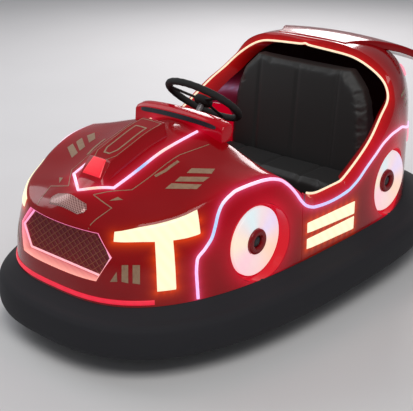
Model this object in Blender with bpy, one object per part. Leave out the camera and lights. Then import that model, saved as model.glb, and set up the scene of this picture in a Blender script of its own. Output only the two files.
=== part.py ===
"""Two-seat battery bumper car, in metres.

The nose points along -Y, the car's left side is +X and the floor it stands on is z = 0.
A rubber ring surrounds a steel base plate. A glass-fibre body in panels stands on the ring.
One steered drive wheel is under the bonnet and two plain wheels are behind the seat.
"""
from math import cos, hypot, pi, radians, sin

import bmesh
import bpy
import numpy as np
from mathutils import Matrix, Vector
from mathutils.bvhtree import BVHTree

# Overall sizes
LENGTH = 1.950
WIDTH = 1.132
ROOF_HEIGHT = 0.840
BASE_HEIGHT = 0.237

# Fits
FIT = 0.0003
SKIN_FIT = 0.0007
DECK_FIT = 0.0021
RUNNING = 0.0006
SEAM = 0.002

# Ring
RING_POWER = 2.73
RING_FLOOR_GAP = 0.075
NOSE_OVERHANG = 0.069
SIDE_OVERHANG = 0.088
CHANNEL_WALL = 0.006
RING_STEPS = 48
TURN_STEPS = 24

# Body skin
BODY_POWER = 2.9
BODY_HALF_LENGTH = LENGTH / 2 - NOSE_OVERHANG
BODY_HALF_WIDTH = WIDTH / 2 - SIDE_OVERHANG
SKIN = 0.005
SILL_HEIGHT = 0.430
DOME_FOOT = 0.400
DOME_REACH = 0.72
HOOP_POWER = 3.25
DOME_SIDE_POWER = 4.0
DOME_TAIL_POWER = 3.4

HOOP_DROP = 0.028

# Base plate, rails and wheels
RAIL = 0.040
RAIL_BOTTOM = 0.120
RAIL_CENTRE = 0.200
PLATE = 0.005
JACK_PAD = 0.060
JACK_HEIGHT = 0.112
WHEEL_RADIUS = 0.100
WHEEL_WIDTH = 0.050
HUB_RADIUS = 0.064
AXLE_RADIUS = 0.010
REAR_TRACK = 0.560
ARCH_GAP = 0.020

# Wheel lights on the sides
LIGHT_RADIUS = 0.118
LIGHT_BORE = 0.046
LIGHT_DEPTH = 0.014
PAN_WALL = 0.004
ARCH_RADIUS = 0.133
LIGHT_HEIGHT = 0.366

# Steering
COLUMN_RADIUS = 0.011
SLEEVE_RADIUS = 0.022
STEERING_RADIUS = 0.150
STEERING_TUBE = 0.013
TURNTABLE_RADIUS = 0.140
CUP_RADIUS = 0.112

# Cockpit
SEAT_HEIGHT = 0.300
CUSHION = 0.085
SEAT_HALF_WIDTH = 0.385

# Light strips
STRIP_WIDTH = 0.011
STRIP_DEPTH = 0.005


def along(share):
    """A place along the car: -1 is the front of the body and +1 is its back."""
    return share * BODY_HALF_LENGTH


def across(share):
    """A place across the car: +1 is the left side of the body."""
    return share * BODY_HALF_WIDTH


FRONT_JOINT = along(-0.232)
REAR_JOINT = along(0.055)
DASH = along(-0.331)
TOE_BOARD = along(-0.405)
SEAT_FRONT = along(0.120)
SEAT_REAR = along(0.475)
DRIVE_STATION = along(-0.574)
REAR_STATION = along(0.560)
JACK_STATION = along(0.110)
FRONT_LIGHT = along(-0.447)
REAR_LIGHT = along(0.404)
PLATE_BOTTOM = RAIL_BOTTOM + RAIL + FIT
PLATE_TOP = PLATE_BOTTOM + PLATE
STEERING_CENTRE = Vector((0.0, along(-0.199), 0.715))
COLUMN_FOOT = Vector((0.0, DRIVE_STATION, 0.290))
COLUMN_AXIS = (STEERING_CENTRE - COLUMN_FOOT).normalized()


UP = np.array((0.0, 0.0, 1.0))


# Curves

def smooth(keys, values):
    """A smooth curve through (position, value) keys, flat beyond both ends."""
    places, heights = (np.array(column, dtype=float) for column in zip(*keys))
    steps = np.diff(places)
    rises = np.diff(heights) / steps
    slopes = np.zeros(len(places))
    for i in range(1, len(places) - 1):
        if rises[i - 1] * rises[i] > 0:
            weight_a = 2 * steps[i] + steps[i - 1]
            weight_b = steps[i] + 2 * steps[i - 1]
            slopes[i] = (weight_a + weight_b) / (weight_a / rises[i - 1] + weight_b / rises[i])
    where = np.clip(np.asarray(values, dtype=float), places[0], places[-1])
    index = np.clip(np.searchsorted(places, where, side="right") - 1, 0, len(steps) - 1)
    t = (where - places[index]) / steps[index]
    return ((2 * t**3 - 3 * t**2 + 1) * heights[index]
            + (t**3 - 2 * t**2 + t) * steps[index] * slopes[index]
            + (3 * t**2 - 2 * t**3) * heights[index + 1]
            + (t**3 - t**2) * steps[index] * slopes[index + 1])


def superellipse(angles, half_length, half_width, power):
    """Points of a rounded-oblong outline; angle -90 degrees is the nose and 0 the left side."""
    c, s = np.cos(angles), np.sin(angles)
    x = half_width * np.sign(c) * np.abs(c) ** (2 / power)
    y = half_length * np.sign(s) * np.abs(s) ** (2 / power)
    return np.stack([x, y], axis=-1)


def body_plan(angles):
    """The body's outline, which narrows towards the tail."""
    plan = superellipse(angles, BODY_HALF_LENGTH, BODY_HALF_WIDTH, BODY_POWER)
    taper = smooth([(along(0.36), 1.0), (along(0.575), 0.945), (along(0.77), 0.845),
                    (along(1.0), 0.78)], plan[..., 1])
    return plan * np.stack([taper, np.ones_like(taper)], axis=-1)


class Outline:
    """The left half of the body's outline, measured by distance round from the nose."""

    def __init__(self):
        """Measure the outline in short steps."""
        angles = np.linspace(-pi / 2, pi / 2, 4001)
        self.points = body_plan(angles)
        steps = np.linalg.norm(np.diff(self.points, axis=0), axis=1)
        self.distance = np.concatenate([[0], np.cumsum(steps)])
        self.total = self.distance[-1]

    def at(self, d):
        """Plan points at distances d round from the nose; negative ones are on the right."""
        size = np.abs(d)
        x = np.interp(size, self.distance, self.points[:, 0]) * np.where(np.asarray(d) < 0, -1, 1)
        return np.stack([x, np.interp(size, self.distance, self.points[:, 1])], axis=-1)

    def outward(self, d):
        """Unit vectors that point away from the car at distances d."""
        step = 0.004
        ahead = self.at(np.minimum(np.abs(d) + step, self.total))
        behind = self.at(np.maximum(np.abs(d) - step, 0.0))
        run = ahead - behind
        run /= np.linalg.norm(run, axis=-1, keepdims=True)
        flip = np.where(np.asarray(d) < 0, -1, 1)
        return np.stack([run[..., 1] * flip, -run[..., 0]], axis=-1)

    def round_to(self, y):
        """Distance round from the nose to the place at y."""
        return np.interp(y, self.points[:, 1], self.distance)


OUTLINE = Outline()
FRONT_END = float(OUTLINE.round_to(FRONT_JOINT))
REAR_START = float(OUTLINE.round_to(REAR_JOINT))


def shoulder_height(d):
    """Height where the wall turns into the bonnet or the cockpit's edge."""
    quarter = np.abs(d) / (OUTLINE.total / 2)
    return smooth([(0.0, 0.486), (0.124, 0.473), (0.172, 0.474), (0.294, 0.496), (0.360, 0.506),
                   (0.424, 0.519), (0.487, 0.540), (0.531, 0.552), (0.574, 0.563),
                   (0.617, 0.571), (0.650, 0.574), (0.686, 0.575), (0.720, 0.573),
                   (0.745, 0.567), (0.788, 0.541), (0.822, 0.503), (0.864, 0.455),
                   (0.900, SILL_HEIGHT)], quarter)


def wall_lean(d):
    """How far the top of the wall leans inwards."""
    quarter = np.abs(d) / (OUTLINE.total / 2)
    return smooth([(0.0, 0.038), (0.15, 0.040), (0.30, 0.048), (0.42, 0.048), (0.53, 0.044),
                   (0.62, 0.042), (0.69, 0.040), (0.745, 0.030), (0.80, 0.014), (0.88, 0.0)],
                  quarter)


def dome_share(z, power):
    """Size of the tail's dome at height z, as a share of its size at its foot."""
    power = np.asarray(power, dtype=float)
    rise = np.clip((z - DOME_FOOT) / (ROOF_HEIGHT - DOME_FOOT), 0.0, 1.0)
    return (1 - rise**power) ** (1 / power)


def roof_fall(y, z):
    """How far the tail's surface drops behind the hoop: fully on the roof, not at the dome's foot."""
    share = np.clip((z - DOME_FOOT) / (ROOF_HEIGHT - DOME_FOOT), 0.0, 1.0)
    fall = smooth([(along(0.50), 0.0), (along(0.62), 0.002), (along(0.72), 0.014),
                   (along(0.83), 0.052), (along(0.92), 0.090), (along(1.0), 0.125)], y)
    return fall * share**1.5


def dome_power(d):
    """How square the dome's sides are: round at the hoop and squarer behind it."""
    y = OUTLINE.at(d)[..., 1]
    return smooth([(along(0.50), HOOP_POWER), (along(0.74), DOME_SIDE_POWER)], y)


def skin_point(d, z, out=0.0):
    """Points of the outer skin at distances d and heights z, moved outwards by out."""
    d, z = np.broadcast_arrays(np.asarray(d, dtype=float), np.asarray(z, dtype=float))
    plan, away = OUTLINE.at(d), OUTLINE.outward(d)
    share = (z - BASE_HEIGHT) / (shoulder_height(d) - BASE_HEIGHT)
    front = plan - away * (wall_lean(d) * np.clip(share, 0, 1.2) ** 2)[..., None]
    reach = DOME_REACH + (1 - DOME_REACH) * dome_share(z, DOME_TAIL_POWER)
    tail = plan * np.stack([dome_share(z, dome_power(d)), reach], axis=-1)
    at_front = np.abs(d) < REAR_START
    chosen = np.where(at_front[..., None], front, tail) + away * out
    height = z - np.where(at_front, 0.0, roof_fall(tail[..., 1], z))
    return np.concatenate([chosen, height[..., None]], axis=-1)


HUMP_WIDTH = 0.42


def bonnet_point(d, s, up=0.0):
    """Points of the bonnet on the line from the centre (s = 0) to the shoulder at d (s = 1)."""
    d, s = np.broadcast_arrays(np.asarray(d, dtype=float), np.asarray(s, dtype=float))
    part = np.abs(d) / FRONT_END
    edge = skin_point(d, shoulder_height(d))
    centre_y = smooth([(0.0, along(-0.883)), (0.15, along(-0.868)), (0.32, along(-0.80)),
                       (0.52, along(-0.70)), (0.73, along(-0.53)), (0.90, along(-0.385)),
                       (1.0, along(-0.331))], part)
    crown_z = smooth([(along(-0.883), 0.541), (along(-0.778), 0.580), (along(-0.678), 0.611),
                      (along(-0.54), 0.650), (along(-0.331), 0.674)], centre_y)
    crown = smooth([(0.0, 0.0), (0.2, 0.024), (0.5, 0.052), (0.8, 0.055), (1.0, 0.045)], part)
    bend = smooth([(0.0, 1.0), (0.5, 1.6), (1.0, 7.0)], part)
    roll = smooth([(0.0, 2.0), (0.25, 2.2), (0.6, 2.5), (1.0, 3.0)], part)
    drop = crown_z - crown - edge[..., 2]
    x = edge[..., 0] * s
    y = centre_y + (edge[..., 1] - centre_y) * s**bend
    z = crown_z - crown * (1 - np.exp(-(s / HUMP_WIDTH) ** 2)) - drop * s**roll + up
    return np.stack([x, y, z], axis=-1)


def rim_front(z):
    """How far back the tail panel's front edge lies at height z."""
    return smooth([(SILL_HEIGHT, REAR_JOINT), (0.47, along(0.144)), (0.52, along(0.237)),
                   (0.60, along(0.370)), (0.66, along(0.463)), (0.73, along(0.508)),
                   (0.80, along(0.497)), (ROOF_HEIGHT, along(0.486))], z)


# Making meshes

def material(name, colour, roughness, metallic=0.0):
    """A plain finish."""
    made = bpy.data.materials.get(name)
    if made is None:
        made = bpy.data.materials.new(name)
        made.use_nodes = True
        shader = made.node_tree.nodes["Principled BSDF"]
        shader.inputs["Base Color"].default_value = (*colour, 1.0)
        shader.inputs["Roughness"].default_value = roughness
        shader.inputs["Metallic"].default_value = metallic
    return made


def red_shell():
    """Red gel coat."""
    return material("red_shell", (0.42, 0.008, 0.015), 0.2)


def black_rubber():
    """Black rubber."""
    return material("black_rubber", (0.01, 0.01, 0.012), 0.45)


def black_plastic():
    """Black moulded plastic."""
    return material("black_plastic", (0.012, 0.012, 0.014), 0.5)


def steel():
    """Grey painted steel."""
    return material("steel", (0.20, 0.21, 0.22), 0.4, 0.8)


def light(name, colour):
    """The diffuser of a lamp."""
    return material(name, colour, 0.3)


def add_object(name, mesh, finish):
    """Put a mesh into the scene under a name, with its material."""
    made = bpy.data.objects.new(name, mesh)
    bpy.context.scene.collection.objects.link(made)
    mesh.materials.clear()
    mesh.materials.append(finish)
    return made


def shade(mesh):
    """Shade a mesh smooth, with sharp edges at corners."""
    mesh.shade_smooth()
    mesh.set_sharp_from_angle(angle=radians(32))


def from_bmesh(name, bm, finish, weld=1e-6):
    """Close a bmesh into an object with its faces pointing out."""
    bmesh.ops.remove_doubles(bm, verts=bm.verts, dist=weld)
    bmesh.ops.recalc_face_normals(bm, faces=bm.faces)
    mesh = bpy.data.meshes.new(name)
    bm.to_mesh(mesh)
    bm.free()
    shade(mesh)
    return add_object(name, mesh, finish)


def grid_faces(bm, grid, close_rows=False, close_columns=False):
    """Add a grid of points as quads and return its vertices."""
    rows, columns = grid.shape[:2]
    verts = [[bm.verts.new(point) for point in row] for row in grid.tolist()]
    for i in range(rows if close_rows else rows - 1):
        for j in range(columns if close_columns else columns - 1):
            corner = [verts[i][j], verts[(i + 1) % rows][j],
                      verts[(i + 1) % rows][(j + 1) % columns], verts[i][(j + 1) % columns]]
            bm.faces.new(corner)
    return verts


SKINS = []


def seat(points, outward, gap):
    """Move points along outward so that they lie a gap above the body panels' outer faces."""
    reach = 0.08
    placed = np.array(points, dtype=float)
    outward = np.broadcast_to(outward, placed.shape)
    for index in np.ndindex(placed.shape[:-1]):
        way = Vector(outward[index])
        start = Vector(placed[index]) + way * reach
        hits = [tree.ray_cast(start, -way, 2 * reach)[0] for tree in SKINS]
        hits = [hit for hit in hits if hit is not None]
        nearest = min(hits, key=lambda hit: (hit - start).length) if hits else Vector(placed[index])
        placed[index] = nearest + way * gap
    return placed


def between(grid, parts):
    """A grid of points with extra rows and columns between its own."""
    for axis in (0, 1):
        count = grid.shape[axis]
        places = np.linspace(0, count - 1, (count - 1) * parts + 1)
        low = np.minimum(places.astype(int), count - 2)
        share = np.expand_dims(places - low, tuple(range(1, grid.ndim)))
        share = np.moveaxis(share, 0, axis)
        grid = np.take(grid, low, axis) * (1 - share) + np.take(grid, low + 1, axis) * share
    return grid


def seat_sheet(grid, outward, gap):
    """Lay a grid of points on the panels, then lift it all so that no facet pokes through."""
    outward = np.broadcast_to(outward, grid.shape)
    return lift_clear(seat(grid, outward, gap), outward, gap)


def lift_clear(sheet, outward, gap):
    """Lift a sheet along outward until no facet of the panels comes nearer than the gap."""
    outward = np.broadcast_to(outward, sheet.shape)
    fine, fine_outward = between(sheet, 8), between(outward, 8)
    height = np.sum((fine - seat(fine, fine_outward, 0.0)) * fine_outward, axis=-1)
    return sheet + outward * max(0.0, gap - float(height.min()))


def level(vectors):
    """Plan vectors made into level 3-D vectors."""
    return np.concatenate([vectors, np.zeros(vectors.shape[:-1] + (1,))], axis=-1)


def open_skin(name, grids, finish, thickness, towards):
    """A thin wall from open grids welded together; its thickness grows away from a point."""
    bm = bmesh.new()
    for grid in grids:
        grid_faces(bm, grid)
    bmesh.ops.remove_doubles(bm, verts=bm.verts, dist=1e-5)
    bmesh.ops.dissolve_degenerate(bm, edges=bm.edges, dist=1e-5)
    bmesh.ops.recalc_face_normals(bm, faces=bm.faces)
    bm.faces.ensure_lookup_table()
    centre = Vector(towards)
    votes = sum(f.normal.dot(f.calc_center_median() - centre) * f.calc_area() for f in bm.faces)
    if votes < 0:
        bmesh.ops.reverse_faces(bm, faces=bm.faces)
    SKINS.append(BVHTree.FromBMesh(bm))
    mesh = bpy.data.meshes.new(name)
    bm.to_mesh(mesh)
    bm.free()
    shade(mesh)
    made = add_object(name, mesh, finish)
    wall = made.modifiers.new("wall", "SOLIDIFY")
    wall.thickness = thickness
    wall.offset = -1.0
    return made


def ribbon(name, rails, outward, depth, finish, closed=False):
    """A bar of rectangular section between two rails of points, raised along outward."""
    left, right = rails
    grid = np.stack([left, right, right + outward * depth, left + outward * depth], axis=1)
    bm = bmesh.new()
    verts = grid_faces(bm, grid, close_rows=closed, close_columns=True)
    if not closed:
        bm.faces.new(verts[0])
        bm.faces.new(verts[-1])
    return from_bmesh(name, bm, finish)


def plank(name, under, outward, depth, finish):
    """A thick sheet whose underside is a grid of points, raised along outward."""
    loops = np.concatenate([under, (under + outward * depth)[:, ::-1]], axis=1)
    bm = bmesh.new()
    verts = grid_faces(bm, loops, close_columns=True)
    bm.faces.new(verts[0])
    bm.faces.new(verts[-1])
    return from_bmesh(name, bm, finish)


def unit(vectors):
    """Vectors made one long."""
    return vectors / np.maximum(np.linalg.norm(vectors, axis=-1, keepdims=True), 1e-12)


def box(name, low, high, finish):
    """A box between two corners."""
    return from_bmesh(name, box_mesh(low, high), finish)


def box_mesh(low, high):
    """A bmesh box between two corners."""
    bm = bmesh.new()
    size = [b - a for a, b in zip(low, high)]
    middle = [(a + b) / 2 for a, b in zip(low, high)]
    bmesh.ops.create_cube(bm, size=1.0,
                          matrix=Matrix.Translation(middle) @ Matrix.Diagonal((*size, 1.0)))
    return bm


def lathe(name, profile, origin, axis, finish, steps=TURN_STEPS):
    """A turned piece: profile is a closed loop of (radius, distance along axis)."""
    turn = Vector((0, 0, 1)).rotation_difference(Vector(axis)).to_matrix().to_4x4()
    place = Matrix.Translation(origin) @ turn
    angles = np.linspace(0, 2 * pi, steps, endpoint=False)
    r = np.array([p[0] for p in profile])
    h = np.array([p[1] for p in profile])
    grid = np.stack([np.cos(angles)[:, None] * r, np.sin(angles)[:, None] * r,
                     np.broadcast_to(h, (steps, len(h)))], axis=-1)
    solid = profile[0][0] == 0 and profile[-1][0] == 0
    bm = bmesh.new()
    grid_faces(bm, grid, close_rows=True, close_columns=not solid)
    bmesh.ops.remove_doubles(bm, verts=bm.verts, dist=1e-7)
    bmesh.ops.dissolve_degenerate(bm, edges=bm.edges, dist=1e-7)
    bm.transform(place)
    return from_bmesh(name, bm, finish)


def rod(name, start, end, radius, finish, steps=TURN_STEPS):
    """A round bar from start to end."""
    length = (Vector(end) - Vector(start)).length
    axis = (Vector(end) - Vector(start)).normalized()
    profile = [(0, 0), (radius, 0), (radius, length), (0, length)]
    return lathe(name, profile, start, axis, finish, steps)


def cut(target, cutter):
    """Cut one object out of another."""
    cutter.hide_render = True
    cutter.display_type = "WIRE"
    step = target.modifiers.new("cut", "BOOLEAN")
    step.operation = "DIFFERENCE"
    step.object = cutter


def join(target, piece):
    """Fuse one object into another."""
    piece.hide_render = True
    piece.display_type = "WIRE"
    step = target.modifiers.new("join", "BOOLEAN")
    step.operation = "UNION"
    step.object = piece


def guide(name):
    """A name for a cutter or a piece that is fused into another."""
    return "guide_" + name


# The ring, the base plate and the running gear

def ring_plan(angles, share):
    """Plan points between the ring's outer outline (share 0) and the body's (share 1)."""
    outer = superellipse(angles, LENGTH / 2, WIDTH / 2, RING_POWER)
    return outer * (1 - share) + body_plan(angles) * share


def ring_angles(steps):
    """Angles that space points evenly round the body's outline."""
    fine = np.linspace(0, 2 * pi, 8001)
    plan = ring_plan(fine, 0.0)
    run = np.concatenate([[0], np.cumsum(np.linalg.norm(np.diff(plan, axis=0), axis=1))])
    return np.interp(np.arange(steps) / steps * run[-1], run, fine)


def swept_ring(name, profile, finish, steps=RING_STEPS):
    """A closed loop round the car: profile is a loop of (share towards the body, height)."""
    angles = ring_angles(steps)
    grid = np.stack([np.concatenate([ring_plan(angles, share), np.full((steps, 1), z)], axis=1)
                     for share, z in profile], axis=1)
    bm = bmesh.new()
    grid_faces(bm, grid, close_rows=True, close_columns=True)
    return from_bmesh(name, bm, finish)


RING_INNER = 1.15
CHANNEL_INNER = RING_INNER + (CHANNEL_WALL + 2 * FIT) / SIDE_OVERHANG
PLATE_EDGE = CHANNEL_INNER + 2 * FIT / SIDE_OVERHANG


def make_ring():
    """The rubber ring and the steel channel that holds it."""
    low, lip = RING_FLOOR_GAP, BASE_HEIGHT - FIT
    swept_ring("bumper_ring", [(0.00, low + 0.032), (0.00, low + 0.080), (0.07, low + 0.106),
                               (0.26, low + 0.121), (0.52, low + 0.130), (0.80, lip - 0.014),
                               (0.97, lip), (1.10, lip), (RING_INNER, lip - 0.012),
                               (RING_INNER, low + 0.020), (1.02, low + 0.004), (0.50, low),
                               (0.12, low + 0.008)], black_rubber())
    near, far = RING_INNER + 2 * FIT / SIDE_OVERHANG, CHANNEL_INNER
    swept_ring("bumper_channel", [(near, low + 0.022), (near, lip - 0.012),
                                  (far, lip - 0.012), (far, low + 0.022)], steel())


def make_base():
    """The base plate inside the channel, and the two rails with their cross members."""
    angles = ring_angles(RING_STEPS)
    plan = ring_plan(angles, PLATE_EDGE + 2 * FIT / SIDE_OVERHANG)
    bm = bmesh.new()
    levels = [np.concatenate([plan, np.full((RING_STEPS, 1), z)], axis=1)
              for z in (PLATE_BOTTOM, PLATE_TOP)]
    verts = grid_faces(bm, np.stack(levels, axis=0), close_columns=True)
    bm.faces.new(verts[0])
    bm.faces.new(verts[1])
    plate = from_bmesh("base_plate", bm, steel())
    cut(plate, rod(guide("drive_hole"), (0, DRIVE_STATION, 0), (0, DRIVE_STATION, BASE_HEIGHT),
                   CUP_RADIUS + RUNNING, steel(), 32))
    for side in (1, -1):
        middle = side * REAR_TRACK / 2
        reach = WHEEL_WIDTH / 2 + ARCH_GAP
        run = WHEEL_RADIUS + ARCH_GAP
        cut(plate, box(guide("wheel_slot"), (middle - reach, REAR_STATION - run, 0),
                       (middle + reach, REAR_STATION + run, BASE_HEIGHT), steel()))
    make_rails()


def make_rails():
    """Two square rails joined by three cross members, with a jacking pad under each."""
    front, back = DRIVE_STATION - TURNTABLE_RADIUS - RAIL, along(0.80)
    half = RAIL / 2
    top = RAIL_BOTTOM + RAIL
    frame = box("chassis_rails", (RAIL_CENTRE - half, front, RAIL_BOTTOM),
                (RAIL_CENTRE + half, back, top), steel())
    join(frame, box(guide("right_rail"), (-RAIL_CENTRE - half, front, RAIL_BOTTOM),
                    (-RAIL_CENTRE + half, back, top), steel()))
    reach = RAIL_CENTRE + half + 0.020
    step = 0.001
    for middle in (front + half, TOE_BOARD + half, back - half):
        join(frame, box(guide("cross_member"), (-reach, middle - half + step, RAIL_BOTTOM + step),
                        (reach, middle + half - step, top - step), steel()))
    for side in (1, -1):
        middle = side * RAIL_CENTRE
        join(frame, box(guide("jack_pad"), (middle - JACK_PAD / 2, JACK_STATION - JACK_PAD, JACK_HEIGHT),
                        (middle + JACK_PAD / 2, JACK_STATION + JACK_PAD, top - 2 * step), steel()))


def tyre_profile(inner, outer, width):
    """A tyre's section: a rounded tread over straight sides."""
    half = width / 2
    return [(inner, -half), (outer - 0.012, -half), (outer - 0.004, -half + 0.004),
            (outer, -half + 0.013), (outer, half - 0.013), (outer - 0.004, half - 0.004),
            (outer - 0.012, half), (inner, half)]


def make_wheel(name, centre):
    """A solid tyre on a turned hub that runs on an axle along X."""
    half = WHEEL_WIDTH / 2
    lathe(name + "_tyre", tyre_profile(HUB_RADIUS + FIT, WHEEL_RADIUS, WHEEL_WIDTH), centre,
          (1, 0, 0), black_rubber())
    bore = AXLE_RADIUS + RUNNING
    web = 0.007
    lathe(name + "_hub", [(bore, -half), (0.024, -half), (0.024, -web), (HUB_RADIUS - 0.008, -web),
                          (HUB_RADIUS - 0.008, -half + 0.002), (HUB_RADIUS, -half + 0.002),
                          (HUB_RADIUS, half - 0.002), (HUB_RADIUS - 0.008, half - 0.002),
                          (HUB_RADIUS - 0.008, web), (0.024, web), (0.024, half), (bore, half)],
          centre, (1, 0, 0), steel())


def make_rear_axle():
    """A fixed bar with two saddles under the rails."""
    reach = REAR_TRACK / 2 + WHEEL_WIDTH / 2 + 0.008
    centre = (0, REAR_STATION, WHEEL_RADIUS)
    bar = rod("rear_axle", (-reach, REAR_STATION, WHEEL_RADIUS), (reach, REAR_STATION, WHEEL_RADIUS),
              AXLE_RADIUS, steel())
    for side in (1, -1):
        middle = side * RAIL_CENTRE
        join(bar, box(guide("saddle"), (middle - 0.016, REAR_STATION - 0.022, centre[2] - 0.016),
                      (middle + 0.016, REAR_STATION + 0.022, RAIL_BOTTOM - FIT), steel()))
    for side in (1, -1):
        make_wheel("rear_wheel_left" if side > 0 else "rear_wheel_right",
                   (side * REAR_TRACK / 2, REAR_STATION, WHEEL_RADIUS))


def make_drive_unit():
    """The steered cup and fork, its stub shaft, and the driven wheel."""
    seat = PLATE_TOP + RUNNING
    wall = 0.008
    roof = WHEEL_RADIUS * 2 + 0.012
    inside = CUP_RADIUS - 0.006
    fork = lathe("drive_fork", [(0, roof), (inside - wall, roof), (inside - wall, PLATE_BOTTOM),
                                (inside, PLATE_BOTTOM), (inside, seat), (TURNTABLE_RADIUS, seat),
                                (TURNTABLE_RADIUS, seat + wall), (inside, seat + wall),
                                (inside, roof + wall), (0.016, roof + wall),
                                (0.016, COLUMN_FOOT.z - 0.028), (0, COLUMN_FOOT.z - 0.028)],
                 (0, DRIVE_STATION, 0), (0, 0, 1), steel())
    for side in (1, -1):
        near, far = 0.046 * side, 0.054 * side
        join(fork, box(guide("arm"), (min(near, far), DRIVE_STATION - 0.028, WHEEL_RADIUS - 0.024),
                       (max(near, far), DRIVE_STATION + 0.028, roof + wall / 2), steel()))
    join(fork, rod(guide("drive_axle"), (-0.052, DRIVE_STATION, WHEEL_RADIUS),
                   (0.052, DRIVE_STATION, WHEEL_RADIUS), AXLE_RADIUS, steel()))
    make_wheel("drive_wheel", (0, DRIVE_STATION, WHEEL_RADIUS))


# The body panels

def make_front_shell():
    """Nose, bonnet and front wings in one moulding, open for the grille and the arches."""
    d = np.linspace(0, FRONT_END - FIT, 21)[:, None]
    wall_share = np.linspace(0, 1, 4)[None, :]
    foot = BASE_HEIGHT + FIT
    rise = foot + wall_share * (shoulder_height(d) - foot)
    wall = skin_point(d, rise)
    top = bonnet_point(d, np.linspace(1, 0, 9)[None, :])
    left = np.concatenate([wall, top[:, 1:]], axis=1)
    left[0, :, 0] = 0.0
    left[:, -1, 0] = 0.0
    shell = open_skin("front_shell", [left, left * (-1, 1, 1)], red_shell(), SKIN,
                      (0, along(-0.55), 0.30))
    cut(shell, grille_cutter())
    for side in (1, -1):
        cut(shell, arch_cutter(FRONT_LIGHT, side))
    return shell


GRILLE_HALF = 0.220
GRILLE_TOP = 0.463
GRILLE_BOTTOM = 0.312
GRILLE_TURN = 0.396
GRILLE_RAKE = 0.135


def grille_outline(grow=0.0):
    """The six corners of the grille opening, seen from the front, as (x, z)."""
    shoulder, foot = GRILLE_HALF - 0.055, GRILLE_HALF - 0.042
    right = [(shoulder, GRILLE_TOP), (GRILLE_HALF, GRILLE_TURN), (foot, GRILLE_BOTTOM)]
    corners = [(-x, z) for x, z in right] + [(x, z) for x, z in reversed(right)]
    return offset_outline(corners, grow)


def offset_outline(corners, grow):
    """A convex outline with each side moved outwards by the same distance."""
    points = np.array(corners)
    centre = points.mean(axis=0)
    sides = []
    for start, end in zip(points, np.roll(points, -1, axis=0)):
        normal = np.array((end[1] - start[1], start[0] - end[0])) / hypot(*(end - start))
        normal = normal if np.dot(normal, start - centre) > 0 else -normal
        sides.append((normal, np.dot(normal, start) + grow))
    return [np.linalg.solve(np.array([a[0], b[0]]), np.array([a[1], b[1]]))
            for a, b in zip([sides[-1]] + sides[:-1], sides)]


def raked(y, z):
    """A grille depth that leans back towards the top of the opening."""
    return y + (z - GRILLE_BOTTOM) * GRILLE_RAKE


def prism(name, outline, start, end, finish):
    """A prism along Y from an (x, z) outline, raked like the grille."""
    bm = bmesh.new()
    grid = np.array([[(x, raked(y, z), z) for x, z in outline] for y in (start, end)])
    verts = grid_faces(bm, grid, close_columns=True)
    bm.faces.new(verts[0])
    bm.faces.new(verts[1])
    return from_bmesh(name, bm, finish)


def grille_cutter():
    """The opening through the nose."""
    return prism(guide("grille_opening"), grille_outline(), along(-1.1), along(-0.80), steel())


def arch_cutter(station, side):
    """A round arch through a side wall, open at its foot."""
    start = side * BODY_HALF_WIDTH * 0.80
    end = side * BODY_HALF_WIDTH * 1.2
    return rod(guide("arch"), (start, station, LIGHT_HEIGHT), (end, station, LIGHT_HEIGHT),
               ARCH_RADIUS, steel(), 28)


def sill_edge(d):
    """The cockpit's inner edge above a sill, at distances d."""
    y = OUTLINE.at(d)[..., 1]
    part = (y - FRONT_JOINT) / (REAR_JOINT - FRONT_JOINT)
    z = smooth([(0.0, 0.519), (0.19, 0.471), (0.45, 0.454), (1.0, 0.456)], part)
    x = across(1.0) * smooth([(0.0, 0.957), (0.3, 0.925), (1.0, 0.925)], part)
    x = x * np.where(np.asarray(d) < 0, -1, 1)
    return np.stack(np.broadcast_arrays(x, y, z), axis=-1)


def hoop_edge(climb):
    """The cockpit's inner edge round the left half of the hoop: climb is 0 at the sill, 1 on top."""
    x = smooth([(0.0, across(0.925)), (0.137, across(0.905)), (0.274, across(0.86)),
                (0.384, across(0.815)), (0.533, across(0.69)), (0.739, across(0.42)),
                (1.0, 0.0)], climb)
    y = smooth([(0.0, REAR_JOINT), (0.137, along(0.250)), (0.274, along(0.370)),
                (0.384, along(0.459)), (0.533, along(0.492)), (0.739, along(0.478)),
                (1.0, along(0.464))], climb)
    z = smooth([(0.0, 0.456), (0.137, 0.547), (0.274, 0.622), (0.384, 0.672), (0.533, 0.735),
                (0.739, 0.797), (1.0, ROOF_HEIGHT - HOOP_DROP)], climb)
    return np.stack([x, y, z], axis=-1)


def rolled(outer, inner, crown=0.006):
    """Points across a rolled edge from the outer skin to the cockpit's inner edge."""
    share = np.array([0.0, 0.33, 0.67, 1.0])
    bow = np.sin(share * pi) * crown
    outer, inner = outer[..., None, :], inner[..., None, :]
    share = share[:, None]
    return outer * (1 - share) + inner * share + UP * bow[:, None]


def make_sills():
    """The low side panels with the rolled edge of the cockpit."""
    for side, name in ((1, "sill_left"), (-1, "sill_right")):
        d = np.linspace(FRONT_END + SEAM, REAR_START - FIT, 9) * side
        share = np.linspace(0, 1, 4)[None, :]
        rise = BASE_HEIGHT + share * (shoulder_height(d)[:, None] - BASE_HEIGHT)
        wall = skin_point(d[:, None], rise)
        edge = rolled(wall[:, -1], sill_edge(d))
        open_skin(name, [np.concatenate([wall, edge[:, 1:]], axis=1)], red_shell(), SKIN, (0, 0, 0.3))


def tail_row(z, columns):
    """Points of the tail skin at one height, from its front edge round to the back."""
    reach = DOME_REACH + (1 - DOME_REACH) * float(dome_share(z, DOME_TAIL_POWER))
    front = REAR_JOINT if z <= SILL_HEIGHT else float(rim_front(z))
    start = max(float(OUTLINE.round_to(front / reach)), REAR_START + FIT)
    return skin_point(np.linspace(start, OUTLINE.total, columns), z)


def hoop_level(climb):
    """Height of the hoop's outer edge: climb is 0 at the sill and 1 on top."""
    return SILL_HEIGHT + (ROOF_HEIGHT - SILL_HEIGHT) * np.sin(climb * pi / 2)


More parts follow.
